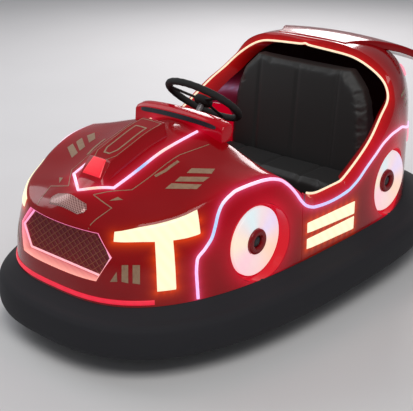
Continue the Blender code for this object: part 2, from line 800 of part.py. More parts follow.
def make_tail():
    """The tail moulding that hoops over the seat back, with its rolled front edge."""
    columns = 13
    low = np.stack([tail_row(z, columns) for z in np.linspace(BASE_HEIGHT, SILL_HEIGHT, 3)])
    climb = np.linspace(0, 1, 11)
    high = np.stack([tail_row(z, columns) for z in hoop_level(climb)])
    edge = rolled(high[:, 0], hoop_edge(climb))[:, ::-1]
    high = np.concatenate([edge, high[:, 1:]], axis=1)
    low[:, -1, 0] = 0.0
    high[:, -1, 0] = 0.0
    high[-1, :, 0] = 0.0
    shell = open_skin("tail_shell", [low, high, low * (-1, 1, 1), high * (-1, 1, 1)],
                      red_shell(), SKIN, (0, along(0.4), 0.35))
    for side in (1, -1):
        cut(shell, arch_cutter(REAR_LIGHT, side))


def make_rim_light():
    """The thin light strip near the cockpit's inner edge, from sill to sill over the hoop."""
    d = np.linspace(FRONT_END + 0.030, REAR_START - SEAM, 8)
    climb = np.linspace(0.02, 1, 18)
    outer = np.concatenate([skin_point(d, shoulder_height(d)),
                            [tail_row(z, 2)[0] for z in hoop_level(climb)]])
    inner = np.concatenate([sill_edge(d), hoop_edge(climb)])
    outer[-1, 0] = 0.0
    outer, inner = (np.concatenate([half[:-1], half[::-1] * (-1, 1, 1)]) for half in (outer, inner))
    outward = unit(np.cross(unit(np.gradient(inner, axis=0)), outer - inner))
    outward *= np.sign(np.sum(outward * (0.0, -0.5, 1.0), axis=1, keepdims=True))
    slope = unit(outer - inner)
    rails = np.stack([inner + slope * 0.001, inner + slope * 0.008], axis=1)
    outward = np.repeat(outward[:, None, :], 2, axis=1)
    plank("rim_light", seat_sheet(rails, outward, SKIN_FIT), outward, 0.006,
          light("cream_light", (0.95, 0.86, 0.65)))


def deck_top(x, y):
    """Height of the roof deck's upper face."""
    middle = smooth([(along(0.50), 0.005), (along(0.60), 0.008), (along(0.72), -0.007),
                     (along(0.83), -0.043), (along(0.92), -0.076)], y)
    return ROOF_HEIGHT + middle - 0.22 * x**2


def deck_half(y):
    """Half the roof deck's width, which grows towards its back edge."""
    return across(smooth([(along(0.50), 0.345), (along(0.60), 0.44), (along(0.72), 0.60),
                          (along(0.83), 0.70), (along(0.92), 0.66)], y))


def make_roof_deck():
    """The raised deck on top of the tail, which overhangs it at the back corners."""
    lip, least = 0.030, 0.004
    y = np.linspace(along(0.495), along(0.92), 10)[:, None]
    x = np.linspace(-1, 1, 15)[None, :] * deck_half(y)
    y = y + 0.05 * (x / across(1.0)) ** 2
    top = deck_top(x, y)
    plan = np.stack(np.broadcast_arrays(x, y, top - lip), axis=-1)
    under = seat(plan, UP, 0.0)
    under[..., 2] = np.maximum(under[..., 2], top - lip)
    under = lift_clear(under, UP, DECK_FIT)
    thick = np.maximum(top - under[..., 2], least)
    plank("roof_deck", under, UP * thick[..., None], 1.0, red_shell())


# Trim and lights on the body

def make_grille():
    """A six-sided frame in the nose opening, the mesh inside it and the light strip round it."""
    back, front = along(-0.935), along(-0.962)
    wall = 0.004
    frame = prism("grille_frame", grille_outline(-FIT), back, front, black_plastic())
    cut(frame, prism(guide("grille_bore"), grille_outline(-FIT - wall), back + 0.01, front - 0.01,
                     black_plastic()))
    prism("grille_mesh", grille_outline(-2 * FIT - wall), back, back - 0.004,
          material("grille_bronze", (0.25, 0.08, 0.04), 0.4, 0.7))
    outer, inner = (np.array([(x, raked(back - 0.004 - FIT, z), z) for x, z in grille_outline(grow)])
                    for grow in (-2 * FIT - wall, -wall - 0.010))
    ribbon("grille_light", (outer, inner), np.array((0.0, -1.0, 0.0)), 0.007,
           light("pink_light", (1.0, 0.55, 0.7)), closed=True)


def wall_patch(name, places, finish, depth, gap=SKIN_FIT):
    """A thick patch on the outer skin from rows of (distance, height) places."""
    outward = level(OUTLINE.outward(places[..., 0]))
    under = seat_sheet(skin_point(places[..., 0], places[..., 1]), outward, gap)
    return plank(name, under, outward, depth, finish)


def make_headlights():
    """Two T-shaped lamps: a bar along the wing's edge and a stem below it."""
    glow = light("yellow_light", (1.0, 0.9, 0.6))
    for side, name in ((1, "headlight_left"), (-1, "headlight_right")):
        start = float(OUTLINE.round_to(along(-0.957)))
        end = float(OUTLINE.round_to(along(-0.715)))
        d = np.linspace(start, end, 9)
        top = shoulder_height(d) - 0.004
        low = top - np.interp(d, [start, end], [0.030, 0.072])
        bar = wall_patch(name, np.stack([np.stack([d * side, low], -1),
                                         np.stack([d * side, (low + top) / 2], -1),
                                         np.stack([d * side, top], -1)], axis=1), glow, 0.004)
        stem_d = np.linspace(float(OUTLINE.round_to(along(-0.855))),
                             float(OUTLINE.round_to(along(-0.797))), 4)
        rise = np.stack([np.full(4, 0.285), np.full(4, 0.38), np.interp(stem_d, d, low) + 0.010], -1)
        stem = wall_patch(guide(name + "_stem"), np.stack(
            [np.stack([stem_d * side, rise[:, i]], -1) for i in range(3)], axis=1), glow, 0.0038)
        join(bar, stem)


def side_strip_route():
    """The light strip along a side: over the front arch, along the sill, over the rear arch."""
    keys = [(-0.725, 0.243), (-0.728, 0.325), (-0.722, 0.372), (-0.690, 0.403),
            (-0.662, 0.432), (-0.643, 0.468), (-0.628, 0.500), (-0.606, 0.528),
            (-0.563, 0.552), (-0.530, 0.563), (-0.464, 0.571), (-0.397, 0.572),
            (-0.364, 0.567), (-0.331, 0.555), (-0.298, 0.530), (-0.265, 0.495),
            (-0.235, 0.459), (-0.207, 0.437), (-0.157, 0.421),
            (-0.060, 0.415), (0.040, 0.421), (0.121, 0.446), (0.182, 0.480),
            (0.246, 0.511), (0.322, 0.544), (0.406, 0.559), (0.50, 0.555),
            (0.60, 0.530), (0.70, 0.505), (0.79, 0.495)]
    d = OUTLINE.round_to(along(1.0) * np.array([k[0] for k in keys]))
    z = np.array([k[1] for k in keys])
    run = np.concatenate([[0], np.cumsum(np.hypot(np.diff(d), np.diff(z)))])
    places = np.linspace(0, run[-1], 56)
    return smooth(list(zip(run, d)), places), smooth(list(zip(run, z)), places)


def make_side_strips():
    """The long light strips on both sides."""
    d, z = side_strip_route()
    z = np.minimum(z, shoulder_height(d) + np.where(d < FRONT_END, -0.6 * STRIP_WIDTH, LENGTH))
    run = unit(np.stack([np.gradient(d), np.gradient(z)], axis=-1)) * STRIP_WIDTH / 2
    for side, name in ((1, "side_light_left"), (-1, "side_light_right")):
        rails = np.stack([np.stack([(d - run[:, 1]) * side, z + run[:, 0]], -1),
                          np.stack([(d + run[:, 1]) * side, z - run[:, 0]], -1)], axis=1)
        wall_patch(name, rails, light("white_light", (0.95, 0.75, 0.95)), STRIP_DEPTH)


def make_sill_lights():
    """Two level bars on each sill, on one backing strip; they grow taller towards the back."""
    glow = light("yellow_light", (1.0, 0.9, 0.6))
    front_levels = np.array([0.275, 0.314, 0.335, 0.374])
    rear_levels = np.array([0.262, 0.313, 0.321, 0.371])
    for side, name in ((1, "sill_light_left"), (-1, "sill_light_right")):
        start, end = OUTLINE.round_to(along(-0.203)), OUTLINE.round_to(along(0.112))
        bars = wall_patch(name, level_rows(start, end, front_levels, rear_levels, side), glow, 0.004)
        groove = level_rows(start - 0.01, end + 0.01, front_levels[1:3], rear_levels[1:3], side)
        cut(bars, wall_patch(guide("groove"), groove, glow, 0.03, 0.002))


def level_rows(start, end, front_levels, rear_levels, side):
    """Rows of (distance, height) places whose heights change evenly from front to back."""
    share = np.linspace(0, 1, 8)[:, None]
    d = np.broadcast_to((start + (end - start) * share) * side, (8, len(front_levels)))
    return np.stack([d, front_levels * (1 - share) + rear_levels * share], axis=-1)


def make_wheel_lights():
    """A round pan in each arch with a lit ring and a raised hub."""
    for end_name, station in (("front", FRONT_LIGHT), ("rear", REAR_LIGHT)):
        for side, side_name in ((1, "left"), (-1, "right")):
            label = end_name + "_" + side_name
            skin_x = float(skin_point(OUTLINE.round_to(station), LIGHT_HEIGHT)[0])
            face = skin_x - 0.020
            pan_radius = ARCH_RADIUS - 0.0010
            floor_x = face - LIGHT_DEPTH - FIT
            pan = [(0, -PAN_WALL), (pan_radius, -PAN_WALL), (pan_radius, 0.012),
                   (pan_radius - PAN_WALL, 0.012), (pan_radius - PAN_WALL, 0.0),
                   (LIGHT_BORE - 0.002, 0.0), (LIGHT_BORE - 0.002, LIGHT_DEPTH + 0.004),
                   (LIGHT_BORE - 0.010, LIGHT_DEPTH + 0.010), (0.022, LIGHT_DEPTH + 0.008),
                   (0.018, LIGHT_DEPTH - 0.004), (0, LIGHT_DEPTH - 0.004)]
            axis = (side, 0, 0)
            lathe("wheel_pan_" + label, pan, (side * floor_x, station, LIGHT_HEIGHT), axis,
                  black_plastic())
            ring = [(LIGHT_BORE, FIT), (LIGHT_RADIUS, FIT), (LIGHT_RADIUS, LIGHT_DEPTH - 0.004),
                    (LIGHT_RADIUS - 0.004, LIGHT_DEPTH), (LIGHT_BORE + 0.003, LIGHT_DEPTH),
                    (LIGHT_BORE, LIGHT_DEPTH - 0.003)]
            lathe("wheel_light_" + label, ring, (side * floor_x, station, LIGHT_HEIGHT), axis,
                  light("ring_light", (0.96, 0.85, 0.84)))


def make_bonnet_trim():
    """The raised block, the V-shaped light, and the nose badge plate on the bonnet."""
    start, end = along(-0.812), along(-0.478)
    half, lift, rows, ramp = 0.050, 0.040, 11, 0.055
    y = np.linspace(start, end, rows)[:, None]
    x = np.linspace(-1, 1, 7)[None, :] * half
    plan = np.stack(np.broadcast_arrays(x * 1.25, y, 0.6), axis=-1)
    under = seat_sheet(plan, UP, SKIN_FIT)
    share = np.clip(0.12 + (y[:, 0] - start) / ramp, 0, 1)
    top = np.broadcast_to(under[:, 3:4, 2] + (lift * share)[:, None], (rows, 7))
    over = np.stack(np.broadcast_arrays(x, y, top), axis=-1)
    bm = bmesh.new()
    verts = grid_faces(bm, np.concatenate([under, over[:, ::-1]], axis=1), close_columns=True)
    bm.faces.new(verts[0])
    bm.faces.new(verts[-1])
    from_bmesh("bonnet_block", bm, red_shell())
    make_bonnet_light()
    make_badge()


def make_bonnet_light():
    """The V of light: its tip is on the centre line ahead of the raised block."""
    keys = [(-0.866, 0.0), (-0.830, 0.048), (-0.793, 0.096), (-0.72, 0.100), (-0.65, 0.103),
            (-0.57, 0.106), (-0.49, 0.108), (-0.43, 0.110), (-0.372, 0.111)]
    arm = np.array([(x, along(y), 0.6) for y, x in keys])
    whole = np.concatenate([arm[::-1], arm[1:] * (-1, 1, 1)])
    cross = unit(np.cross(unit(np.gradient(whole, axis=0)), UP)) * 0.005
    strip = seat_sheet(np.stack([whole - cross, whole + cross], axis=1), UP, SKIN_FIT)
    plank("bonnet_light", strip, UP, 0.004, light("white_light", (0.95, 0.75, 0.95)))


def make_badge():
    """A blank shield-shaped plate above the grille."""
    d = np.linspace(-0.085, 0.085, 7)[None, :]
    s = np.linspace(0.93, 0.38, 5)[:, None]
    plan = bonnet_point(np.abs(d) * (1 - 0.25 * (0.93 - s)), s)
    plan[..., 0] *= np.sign(d)
    plank("nose_plate", seat_sheet(plan, UP, SKIN_FIT), UP, 0.004,
          material("badge", (0.6, 0.25, 0.25), 0.4, 0.5))


def make_nose_strip():
    """The bright lip that runs under the grille from corner to corner."""
    d = np.linspace(-0.36, 0.36, 25)[:, None]
    z = np.array([[0.245, 0.260]])
    places = np.stack(np.broadcast_arrays(d, z), axis=-1)
    wall_patch("nose_strip", places, light("red_light", (0.9, 0.02, 0.06)), 0.004)


def make_tail_lamps():
    """A lamp under each back corner of the roof deck and one low on each corner of the tail."""
    finish = light("pink_light", (1.0, 0.55, 0.7))
    for side, label in ((1, "left"), (-1, "right")):
        for name, places, low, high in (("rear_lamp_", (0.775, 0.845), 0.700, 0.752),
                                        ("tail_lamp_", (0.800, 0.870), 0.400, 0.468)):
            d = OUTLINE.round_to(along(1.0) * np.linspace(*places, 5)) * side
            rows = np.stack([np.stack([d, np.full(5, z)], -1) for z in np.linspace(low, high, 4)], 1)
            wall_patch(name + label, rows, finish, 0.006)


# The cockpit

def make_dash():
    """The instrument pod across the back of the bonnet, and the toe board below it."""
    half = 0.208
    x = np.linspace(-half, half, 11)[:, None]
    y = DASH - np.array([[0.020, 0.015, 0.010, 0.005, 0.001]])
    under = seat_sheet(np.stack(np.broadcast_arrays(x, y, 0.65), axis=-1), UP, SKIN_FIT)
    middle = under[5, 2, 2]
    top = middle + 0.040 - 0.012 * (x / half) ** 2 + np.array([[-0.004, 0.0, -0.002, -0.010]])
    over_y = DASH + np.array([[0.034, 0.022, 0.000, -0.015]])
    lip = np.stack([x[:, 0], np.full(11, DASH + 0.038), under[:, 4, 2] + 0.004], axis=1)[:, None]
    over = np.stack(np.broadcast_arrays(x, over_y, top), axis=-1)
    bm = bmesh.new()
    verts = grid_faces(bm, np.concatenate([under, lip, over], axis=1), close_columns=True)
    bm.faces.new(verts[0])
    bm.faces.new(verts[-1])
    from_bmesh("dash_pod", bm, red_shell())
    wide = across(0.86)
    board = box("toe_board", (-wide, TOE_BOARD, PLATE_TOP + FIT), (wide, TOE_BOARD + 0.004, 0.560),
                black_plastic())
    crossing = column_point((TOE_BOARD - COLUMN_FOOT.y) / COLUMN_AXIS.y)
    cut(board, rod(guide("column_hole"), crossing - COLUMN_AXIS * 0.06, crossing + COLUMN_AXIS * 0.06,
                   SLEEVE_RADIUS + FIT, steel()))
    bore = COLUMN_RADIUS + RUNNING
    lathe("column_sleeve", [(bore, -0.05), (SLEEVE_RADIUS, -0.05), (SLEEVE_RADIUS, 0.05), (bore, 0.05)],
          crossing, COLUMN_AXIS, steel())


def column_point(distance):
    """A point on the steering column's axis, measured from its foot."""
    return COLUMN_FOOT + COLUMN_AXIS * distance


def make_steering():
    """The steering wheel and its shaft."""
    length = (STEERING_CENTRE - COLUMN_FOOT).length
    rod("steering_shaft", column_point(0.022), column_point(length - 0.018 - FIT), COLUMN_RADIUS,
        steel())
    turn = Vector((0, 0, 1)).rotation_difference(COLUMN_AXIS).to_matrix().to_4x4()
    place = Matrix.Translation(STEERING_CENTRE) @ turn
    tube_steps = 6
    section = [(STEERING_RADIUS - STEERING_TUBE + STEERING_TUBE * cos(a), STEERING_TUBE * sin(a))
               for a in np.linspace(0, 2 * pi, tube_steps, endpoint=False)]
    wheel = lathe("steering_wheel", section, STEERING_CENTRE, COLUMN_AXIS, black_rubber(), 28)
    hub = lathe(guide("wheel_hub"), [(0, -0.018), (0.030, -0.018), (0.036, -0.004), (0.030, 0.010),
                                     (0, 0.012)], STEERING_CENTRE, COLUMN_AXIS, black_rubber())
    join(wheel, hub)
    for angle in (radians(90), radians(210), radians(330)):
        bm = box_mesh((0.010, -0.012, -0.006), (STEERING_RADIUS - STEERING_TUBE, 0.012, 0.002))
        bm.transform(place @ Matrix.Rotation(angle, 4, "Z"))
        join(wheel, from_bmesh(guide("spoke"), bm, black_rubber()))


def make_seat():
    """The bench: a moulded base, a cushion and a back."""
    wide = SEAT_HALF_WIDTH
    wall = 0.006
    top = SEAT_HEIGHT
    bm = bmesh.new()
    section = [(SEAT_FRONT, PLATE_TOP + FIT), (SEAT_FRONT, top), (SEAT_REAR, top),
               (SEAT_REAR, top - wall), (SEAT_FRONT + wall, top - wall),
               (SEAT_FRONT + wall, PLATE_TOP + FIT)]
    grid = np.array([[(x, y, z) for y, z in section] for x in (-wide, wide)])
    verts = grid_faces(bm, grid, close_columns=True)
    bm.faces.new(verts[0])
    bm.faces.new(verts[1])
    from_bmesh("seat_base", bm, black_plastic())
    cushion = box("seat_cushion", (-wide + 0.008, SEAT_FRONT + 0.004, top + FIT),
                  (wide - 0.008, SEAT_REAR - 0.090, top + CUSHION), black_plastic())
    soften(cushion, 0.020)
    make_seat_back(top)


def make_seat_back(top):
    """The padded back, which narrows upwards to fit inside the hoop."""
    low, high = top + FIT, 0.770
    loops = []
    for z in np.linspace(low, high, 8):
        share = (z - low) / (high - low)
        half = SEAT_HALF_WIDTH * min(1.0, float(dome_share(z + 0.03, HOOP_POWER))) * 0.93
        front = SEAT_REAR - 0.085 + 0.050 * share
        back = front + 0.075
        loops.append([(-half, front + 0.02, z), (-half * 0.9, front, z), (0, front - 0.004, z),
                      (half * 0.9, front, z), (half, front + 0.02, z), (half, back, z), (-half, back, z)])
    bm = bmesh.new()
    verts = grid_faces(bm, np.array(loops), close_columns=True)
    bm.faces.new(verts[0])
    bm.faces.new(verts[-1])
    from_bmesh("seat_back", bm, black_plastic())


def soften(made, radius):
    """Round an object's edges."""
    bevel = made.modifiers.new("soften", "BEVEL")
    bevel.width = radius
    bevel.segments = 3


def make_cockpit_fittings():
    """Battery, pedal and the side trim panels."""
    half = RAIL_CENTRE - 0.030
    box("battery_block", (-half, SEAT_REAR + 0.045, PLATE_TOP + FIT),
        (half, along(0.82), PLATE_TOP + 0.200), black_plastic())
    foot = TOE_BOARD + 0.004 + FIT
    pedal = box("accelerator_pedal", (-0.150, foot, PLATE_TOP + 0.030),
                (-0.130, foot + 0.060, PLATE_TOP + 0.042), steel())
    join(pedal, box(guide("pedal_pad"), (-0.180, foot + 0.045, PLATE_TOP + 0.020),
                    (-0.100, foot + 0.058, PLATE_TOP + 0.110), steel()))


def main():
    """Clear the scene and build the car."""
    for item in list(bpy.data.objects):
        bpy.data.objects.remove(item, do_unlink=True)
    make_ring()
    make_base()
    make_rear_axle()
    make_drive_unit()
    make_front_shell()
    make_sills()
    make_tail()
    make_rim_light()
    make_roof_deck()
    make_grille()
    make_headlights()
    make_side_strips()
    make_sill_lights()
    make_wheel_lights()
    make_bonnet_trim()
    make_nose_strip()
    make_tail_lamps()
    make_dash()
    make_steering()
    make_seat()
    make_cockpit_fittings()


main()
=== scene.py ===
"""Two-seat battery bumper car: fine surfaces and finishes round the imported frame.

The nose points along -Y, the car's left side is +X and it stands on the floor z = 0.
The body panels, the ring, the light strips and the cushions are worked out as grids of points.
"""
from __future__ import annotations

import logging
from dataclasses import dataclass, field
from enum import Enum
from math import cos, pi, radians, sin
from typing import Dict, List, Optional, Sequence, Tuple, Union

import bmesh
import bpy
import numpy as np
from mathutils import Matrix, Vector


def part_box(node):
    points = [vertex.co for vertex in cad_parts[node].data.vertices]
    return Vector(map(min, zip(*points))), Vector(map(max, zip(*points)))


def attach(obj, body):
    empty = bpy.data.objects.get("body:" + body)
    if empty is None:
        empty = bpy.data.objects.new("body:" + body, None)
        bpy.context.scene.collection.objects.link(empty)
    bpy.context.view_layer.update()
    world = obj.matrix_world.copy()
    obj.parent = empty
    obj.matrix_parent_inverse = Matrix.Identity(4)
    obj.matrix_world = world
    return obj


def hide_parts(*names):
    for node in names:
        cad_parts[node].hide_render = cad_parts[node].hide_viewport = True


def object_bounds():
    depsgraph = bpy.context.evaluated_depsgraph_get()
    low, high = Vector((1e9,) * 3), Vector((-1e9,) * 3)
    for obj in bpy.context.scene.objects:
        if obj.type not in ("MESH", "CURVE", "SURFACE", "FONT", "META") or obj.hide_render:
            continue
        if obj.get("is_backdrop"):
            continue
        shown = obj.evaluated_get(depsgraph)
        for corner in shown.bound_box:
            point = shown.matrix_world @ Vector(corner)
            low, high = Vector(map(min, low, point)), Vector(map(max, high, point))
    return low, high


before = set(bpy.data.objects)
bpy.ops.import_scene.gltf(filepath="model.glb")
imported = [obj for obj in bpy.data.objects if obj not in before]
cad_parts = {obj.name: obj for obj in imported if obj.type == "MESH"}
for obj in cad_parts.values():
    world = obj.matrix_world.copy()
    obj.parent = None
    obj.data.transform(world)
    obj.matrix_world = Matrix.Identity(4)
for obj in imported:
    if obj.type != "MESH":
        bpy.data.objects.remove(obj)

Array = np.ndarray
Keys = Sequence[Tuple[float, float]]
Colour = Tuple[float, float, float]
Number = Union[float, "Signal"]
Halo = Tuple[Array, Colour, float]

LOG = logging.getLogger("bumper_car")
ROOT = "root"
GLOW_LAYER = "glow"
UP = np.array((0.0, 0.0, 1.0))
MIRROR = np.array((-1.0, 1.0, 1.0))
SIDES = {1: "left", -1: "right"}
OVERHEAD = 0.6
LIGHT_HEIGHT = 0.366
ARCH_RADIUS = 0.133
FRONT_LIGHT = -0.447
DASH = -0.331
REAR_LIGHT = 0.404
JOINT_GAP = 0.0003
RING_AT_ENDS = 0.069
RING_AT_SIDES = 0.088
RED_HALO = (0.38, 0.0, 0.014)
PINK_HALO = (0.30, 0.10, 0.26)
AMBER_HALO = (0.62, 0.055, 0.0)
POD_GLOW = 0.16


# Curves and grids

def smooth(keys: Keys, values: Array) -> Array:
    """A cubic through (place, value) keys that never overshoots and is flat beyond both ends.

    Args:
        keys: places in rising order with their values.
        values: places to read.

    Returns:
        The curve's values there.
    """
    places, heights = (np.array(column, dtype=float) for column in zip(*keys))
    steps = np.diff(places)
    rises = np.diff(heights) / steps
    before, after = rises[:-1], rises[1:]
    weight_a, weight_b = 2 * steps[1:] + steps[:-1], steps[1:] + 2 * steps[:-1]
    same = before * after > 0
    safe_before, safe_after = np.where(same, before, 1.0), np.where(same, after, 1.0)
    inner = (weight_a + weight_b) / (weight_a / safe_before + weight_b / safe_after)
    slopes = np.concatenate([[0.0], np.where(same, inner, 0.0), [0.0]])
    where = np.clip(np.asarray(values, dtype=float), places[0], places[-1])
    index = np.clip(np.searchsorted(places, where, side="right") - 1, 0, len(steps) - 1)
    t = (where - places[index]) / steps[index]
    return ((2 * t**3 - 3 * t**2 + 1) * heights[index]
            + (t**3 - 2 * t**2 + t) * steps[index] * slopes[index]
            + (3 * t**2 - 2 * t**3) * heights[index + 1]
            + (t**3 - t**2) * steps[index] * slopes[index + 1])


def unit(vectors: Array) -> Array:
    """Vectors made one long."""
    return vectors / np.maximum(np.linalg.norm(vectors, axis=-1, keepdims=True), 1e-12)


def level(vectors: Array) -> Array:
    """Plan vectors made into level 3-D vectors."""
    return np.concatenate([vectors, np.zeros(vectors.shape[:-1] + (1,))], axis=-1)


def run_of(points: Array) -> Array:
    """The distance run at each point of a path, from nought at its start."""
    return np.concatenate([[0], np.cumsum(np.linalg.norm(np.diff(points, axis=0), axis=1))])


def oval(angles: Array, half_x: float, half_y: float, power: float) -> Array:
    """Plan points of a superellipse at angles, on |x / half_x|^power + |y / half_y|^power = 1.

    Args:
        angles: angles in radians.
        half_x: half of its width.
        half_y: half of its length.
        power: the exponent: 2 is an ellipse.

    Returns:
        One (x, y) row for each angle.
    """
    c, s = np.cos(angles), np.sin(angles)
    return np.stack([half_x * np.sign(c) * np.abs(c) ** (2 / power),
                     half_y * np.sign(s) * np.abs(s) ** (2 / power)], axis=1)


def fill_path(points: Array, step: float) -> Array:
    """Points along the straight runs between corners, no further apart than step.

    Args:
        points: the corners, one row each.
        step: the longest gap.

    Returns:
        The corners with even points between them.
    """
    points = np.asarray(points, dtype=float)
    run = run_of(points)
    places = np.unique(np.concatenate([run, np.arange(0.0, run[-1], step)]))
    return np.stack([np.interp(places, run, column) for column in points.T], axis=-1)


def bilinear(corners: Array, rows: int, columns: int) -> Array:
    """A grid over a four-sided patch: each point is the mix of the corners by its two shares.

    Args:
        corners: the corners of the patch.
        rows: how many rows of points.
        columns: how many columns of points.

    Returns:
        The grid.
    """
    a, b, c, d = np.asarray(corners, dtype=float)
    u = np.linspace(0, 1, rows)[:, None, None]
    v = np.linspace(0, 1, columns)[None, :, None]
    return (a * (1 - v) + b * v) * (1 - u) + (d * (1 - v) + c * v) * u


class Shape:
    """Mesh making from whole arrays of points."""

    @staticmethod
    def faces(rows: int, columns: int, wrap_rows: bool = False,
              wrap_columns: bool = False) -> Array:
        """Corner numbers of a grid's quads, which may close on itself either way.

        Args:
            rows: how many rows of points.
            columns: how many columns of points.
            wrap_rows: close the last row on the first.
            wrap_columns: close the last column on the first.

        Returns:
            One row of four corner numbers for each quad.
        """
        i = np.arange(rows if wrap_rows else rows - 1)[:, None]
        j = np.arange(columns if wrap_columns else columns - 1)[None, :]
        i2, j2 = (i + 1) % rows, (j + 1) % columns
        corners = (i * columns + j, i2 * columns + j, i2 * columns + j2, i * columns + j2)
        shape = np.broadcast(i, j).shape
        return np.stack([np.broadcast_to(c, shape) for c in corners], -1).reshape(-1, 4)

    @staticmethod
    def mesh(name: str, points: Array, faces: Sequence[Sequence[int]],
             weld: float = 1e-5) -> bpy.types.Mesh:
        """A mesh from points and faces, with doubles merged and its faces pointing outwards.

        Args:
            name: the mesh's name.
            points: rows of coordinates.
            faces: corner numbers of each face.
            weld: the distance under which corners are merged.

        Returns:
            The mesh.
        """
        made = bpy.data.meshes.new(name)
        made.from_pydata(points.reshape(-1, 3).tolist(), [], [list(map(int, f)) for f in faces])
        bm = bmesh.new()
        bm.from_mesh(made)
        bmesh.ops.remove_doubles(bm, verts=bm.verts, dist=weld)
        bmesh.ops.dissolve_degenerate(bm, edges=bm.edges, dist=weld / 2)
        bmesh.ops.recalc_face_normals(bm, faces=bm.faces)
        bm.to_mesh(made)
        bm.free()
        return made

    @classmethod
    def grid(cls, name: str, points: Array, wrap_rows: bool = False, wrap_columns: bool = False,
             capped: bool = False) -> bpy.types.Mesh:
        """A surface over a grid of points; capped closes the two ends of a tube.

        Args:
            name: the mesh's name.
            points: rows and columns of places.
            wrap_rows: close the last row on the first.
            wrap_columns: close the last column on the first.
            capped: close a tube's two ends with a face.

        Returns:
            The mesh.
        """
        rows, columns = points.shape[:2]
        faces = cls.faces(rows, columns, wrap_rows, wrap_columns).tolist()
        if capped:
            faces += [list(range(columns)), list(range((rows - 1) * columns, rows * columns))]
        return cls.mesh(name, points, faces)

    @classmethod
    def join(cls, name: str, grids: Sequence[Array], wrap_columns: bool = False,
             capped: bool = False) -> bpy.types.Mesh:
        """Several grids in one mesh.

        Args:
            name: the mesh's name.
            grids: the grids of points.
            wrap_columns: close the last column on the first.
            capped: close a tube's two ends with a face.

        Returns:
            The mesh.
        """
        points, faces, start = [], [], 0
        for grid in grids:
            rows, columns = grid.shape[:2]
            faces += (cls.faces(rows, columns, False, wrap_columns) + start).tolist()
            if capped:
                faces += [list(range(start, start + columns)),
                          list(range(start + (rows - 1) * columns, start + rows * columns))]
            points.append(grid.reshape(-1, 3))
            start += rows * columns
        return cls.mesh(name, np.concatenate(points), faces)

    @staticmethod
    def sweep(path: Array, outward: Array, section: Array) -> Array:
        """A section carried along a path: across the path and outwards from the surface.

        Args:
            path: points along the way.
            outward: unit vectors away from the surface.
            section: (across, out) pairs in metres, going round the section.

        Returns:
            A grid with one row for each point of the path.
        """
        ahead = unit(np.gradient(path, axis=0))
        across = unit(np.cross(ahead, outward))
        return (path[:, None] + across[:, None] * section[None, :, :1]
                + outward[:, None] * section[None, :, 1:])

    @staticmethod
    def half_round(half: float, height: float, sink: float = 0.002, steps: int = 9) -> Array:
        """A half-round section with its foot sunk a little into what it lies on.

        Args:
            half: half of the section's width.
            height: how high the section stands.
            sink: how deep its foot lies in the surface.
            steps: points round the arc.

        Returns:
            The section, as (across, out) pairs.
        """
        turn = np.linspace(0, pi, steps)
        arc = np.stack([half * np.cos(turn), height * np.sin(turn) ** 0.7], axis=1)
        return np.concatenate([[[half, -sink]], arc, [[-half, -sink]]])

    @staticmethod
    def slab(under: Array, outward: Array, height: float, edge: float = 0.25) -> Array:
        """A raised sheet on a grid: its top is full height inside and rounds down at the border.

        Args:
            under: the grid it lies on.
            outward: the way up, for the grid or for each point.
            height: how far it stands up.
            edge: the share of its half width that the rounding takes.

        Returns:
            The grid of its upper face, whose border lies just under the surface.
        """
        rows, columns = under.shape[:2]
        u = np.abs(np.linspace(-1, 1, rows))[:, None]
        v = np.abs(np.linspace(-1, 1, columns))[None, :]
        reach = np.clip((1 - np.maximum(u, v)) / edge, 0, 1)
        lift = height * np.sqrt(1 - (1 - reach) ** 2) - 0.001 * (reach == 0)
        return under + outward * lift[..., None]


def turned(profile: Array, centre: Sequence[float], axis: Sequence[float],
           steps: int = 96) -> Array:
    """A turned surface: profile rows of (radius, height) are carried round an axis.

    Args:
        profile: a loop of (radius, distance along the axis).
        centre: where the distance is nought.
        axis: the way of the axis.
        steps: points round the turn.

    Returns:
        A grid with one row for each angle.
    """
    profile = np.asarray(profile, dtype=float)
    turn = np.array(Vector((0, 0, 1)).rotation_difference(Vector(axis)).to_matrix())
    angles = np.linspace(0, 2 * pi, steps, endpoint=False)[:, None]
    grid = np.stack([np.cos(angles) * profile[:, 0], np.sin(angles) * profile[:, 0],
                     np.broadcast_to(profile[:, 1], (steps, len(profile)))], axis=-1)
    return grid @ turn.T + np.asarray(centre, dtype=float)


def rounded_loop(corners: Array, steps: int = 6, share: float = 0.3) -> Array:
    """A closed outline whose corners are rounded by quadratic bends.

    Args:
        corners: the outline's corners.
        steps: points in each bend.
        share: how much of each side the bend takes.

    Returns:
        The points round the rounded outline.
    """
    corners = np.asarray(corners, dtype=float)
    before = corners + (np.roll(corners, 1, axis=0) - corners) * share
    after = corners + (np.roll(corners, -1, axis=0) - corners) * share
    t = np.linspace(0, 1, steps)[None, :, None]
    bends = ((1 - t) ** 2 * before[:, None] + 2 * t * (1 - t) * corners[:, None]
             + t**2 * after[:, None])
    return bends.reshape(-1, corners.shape[1])


# The body's form

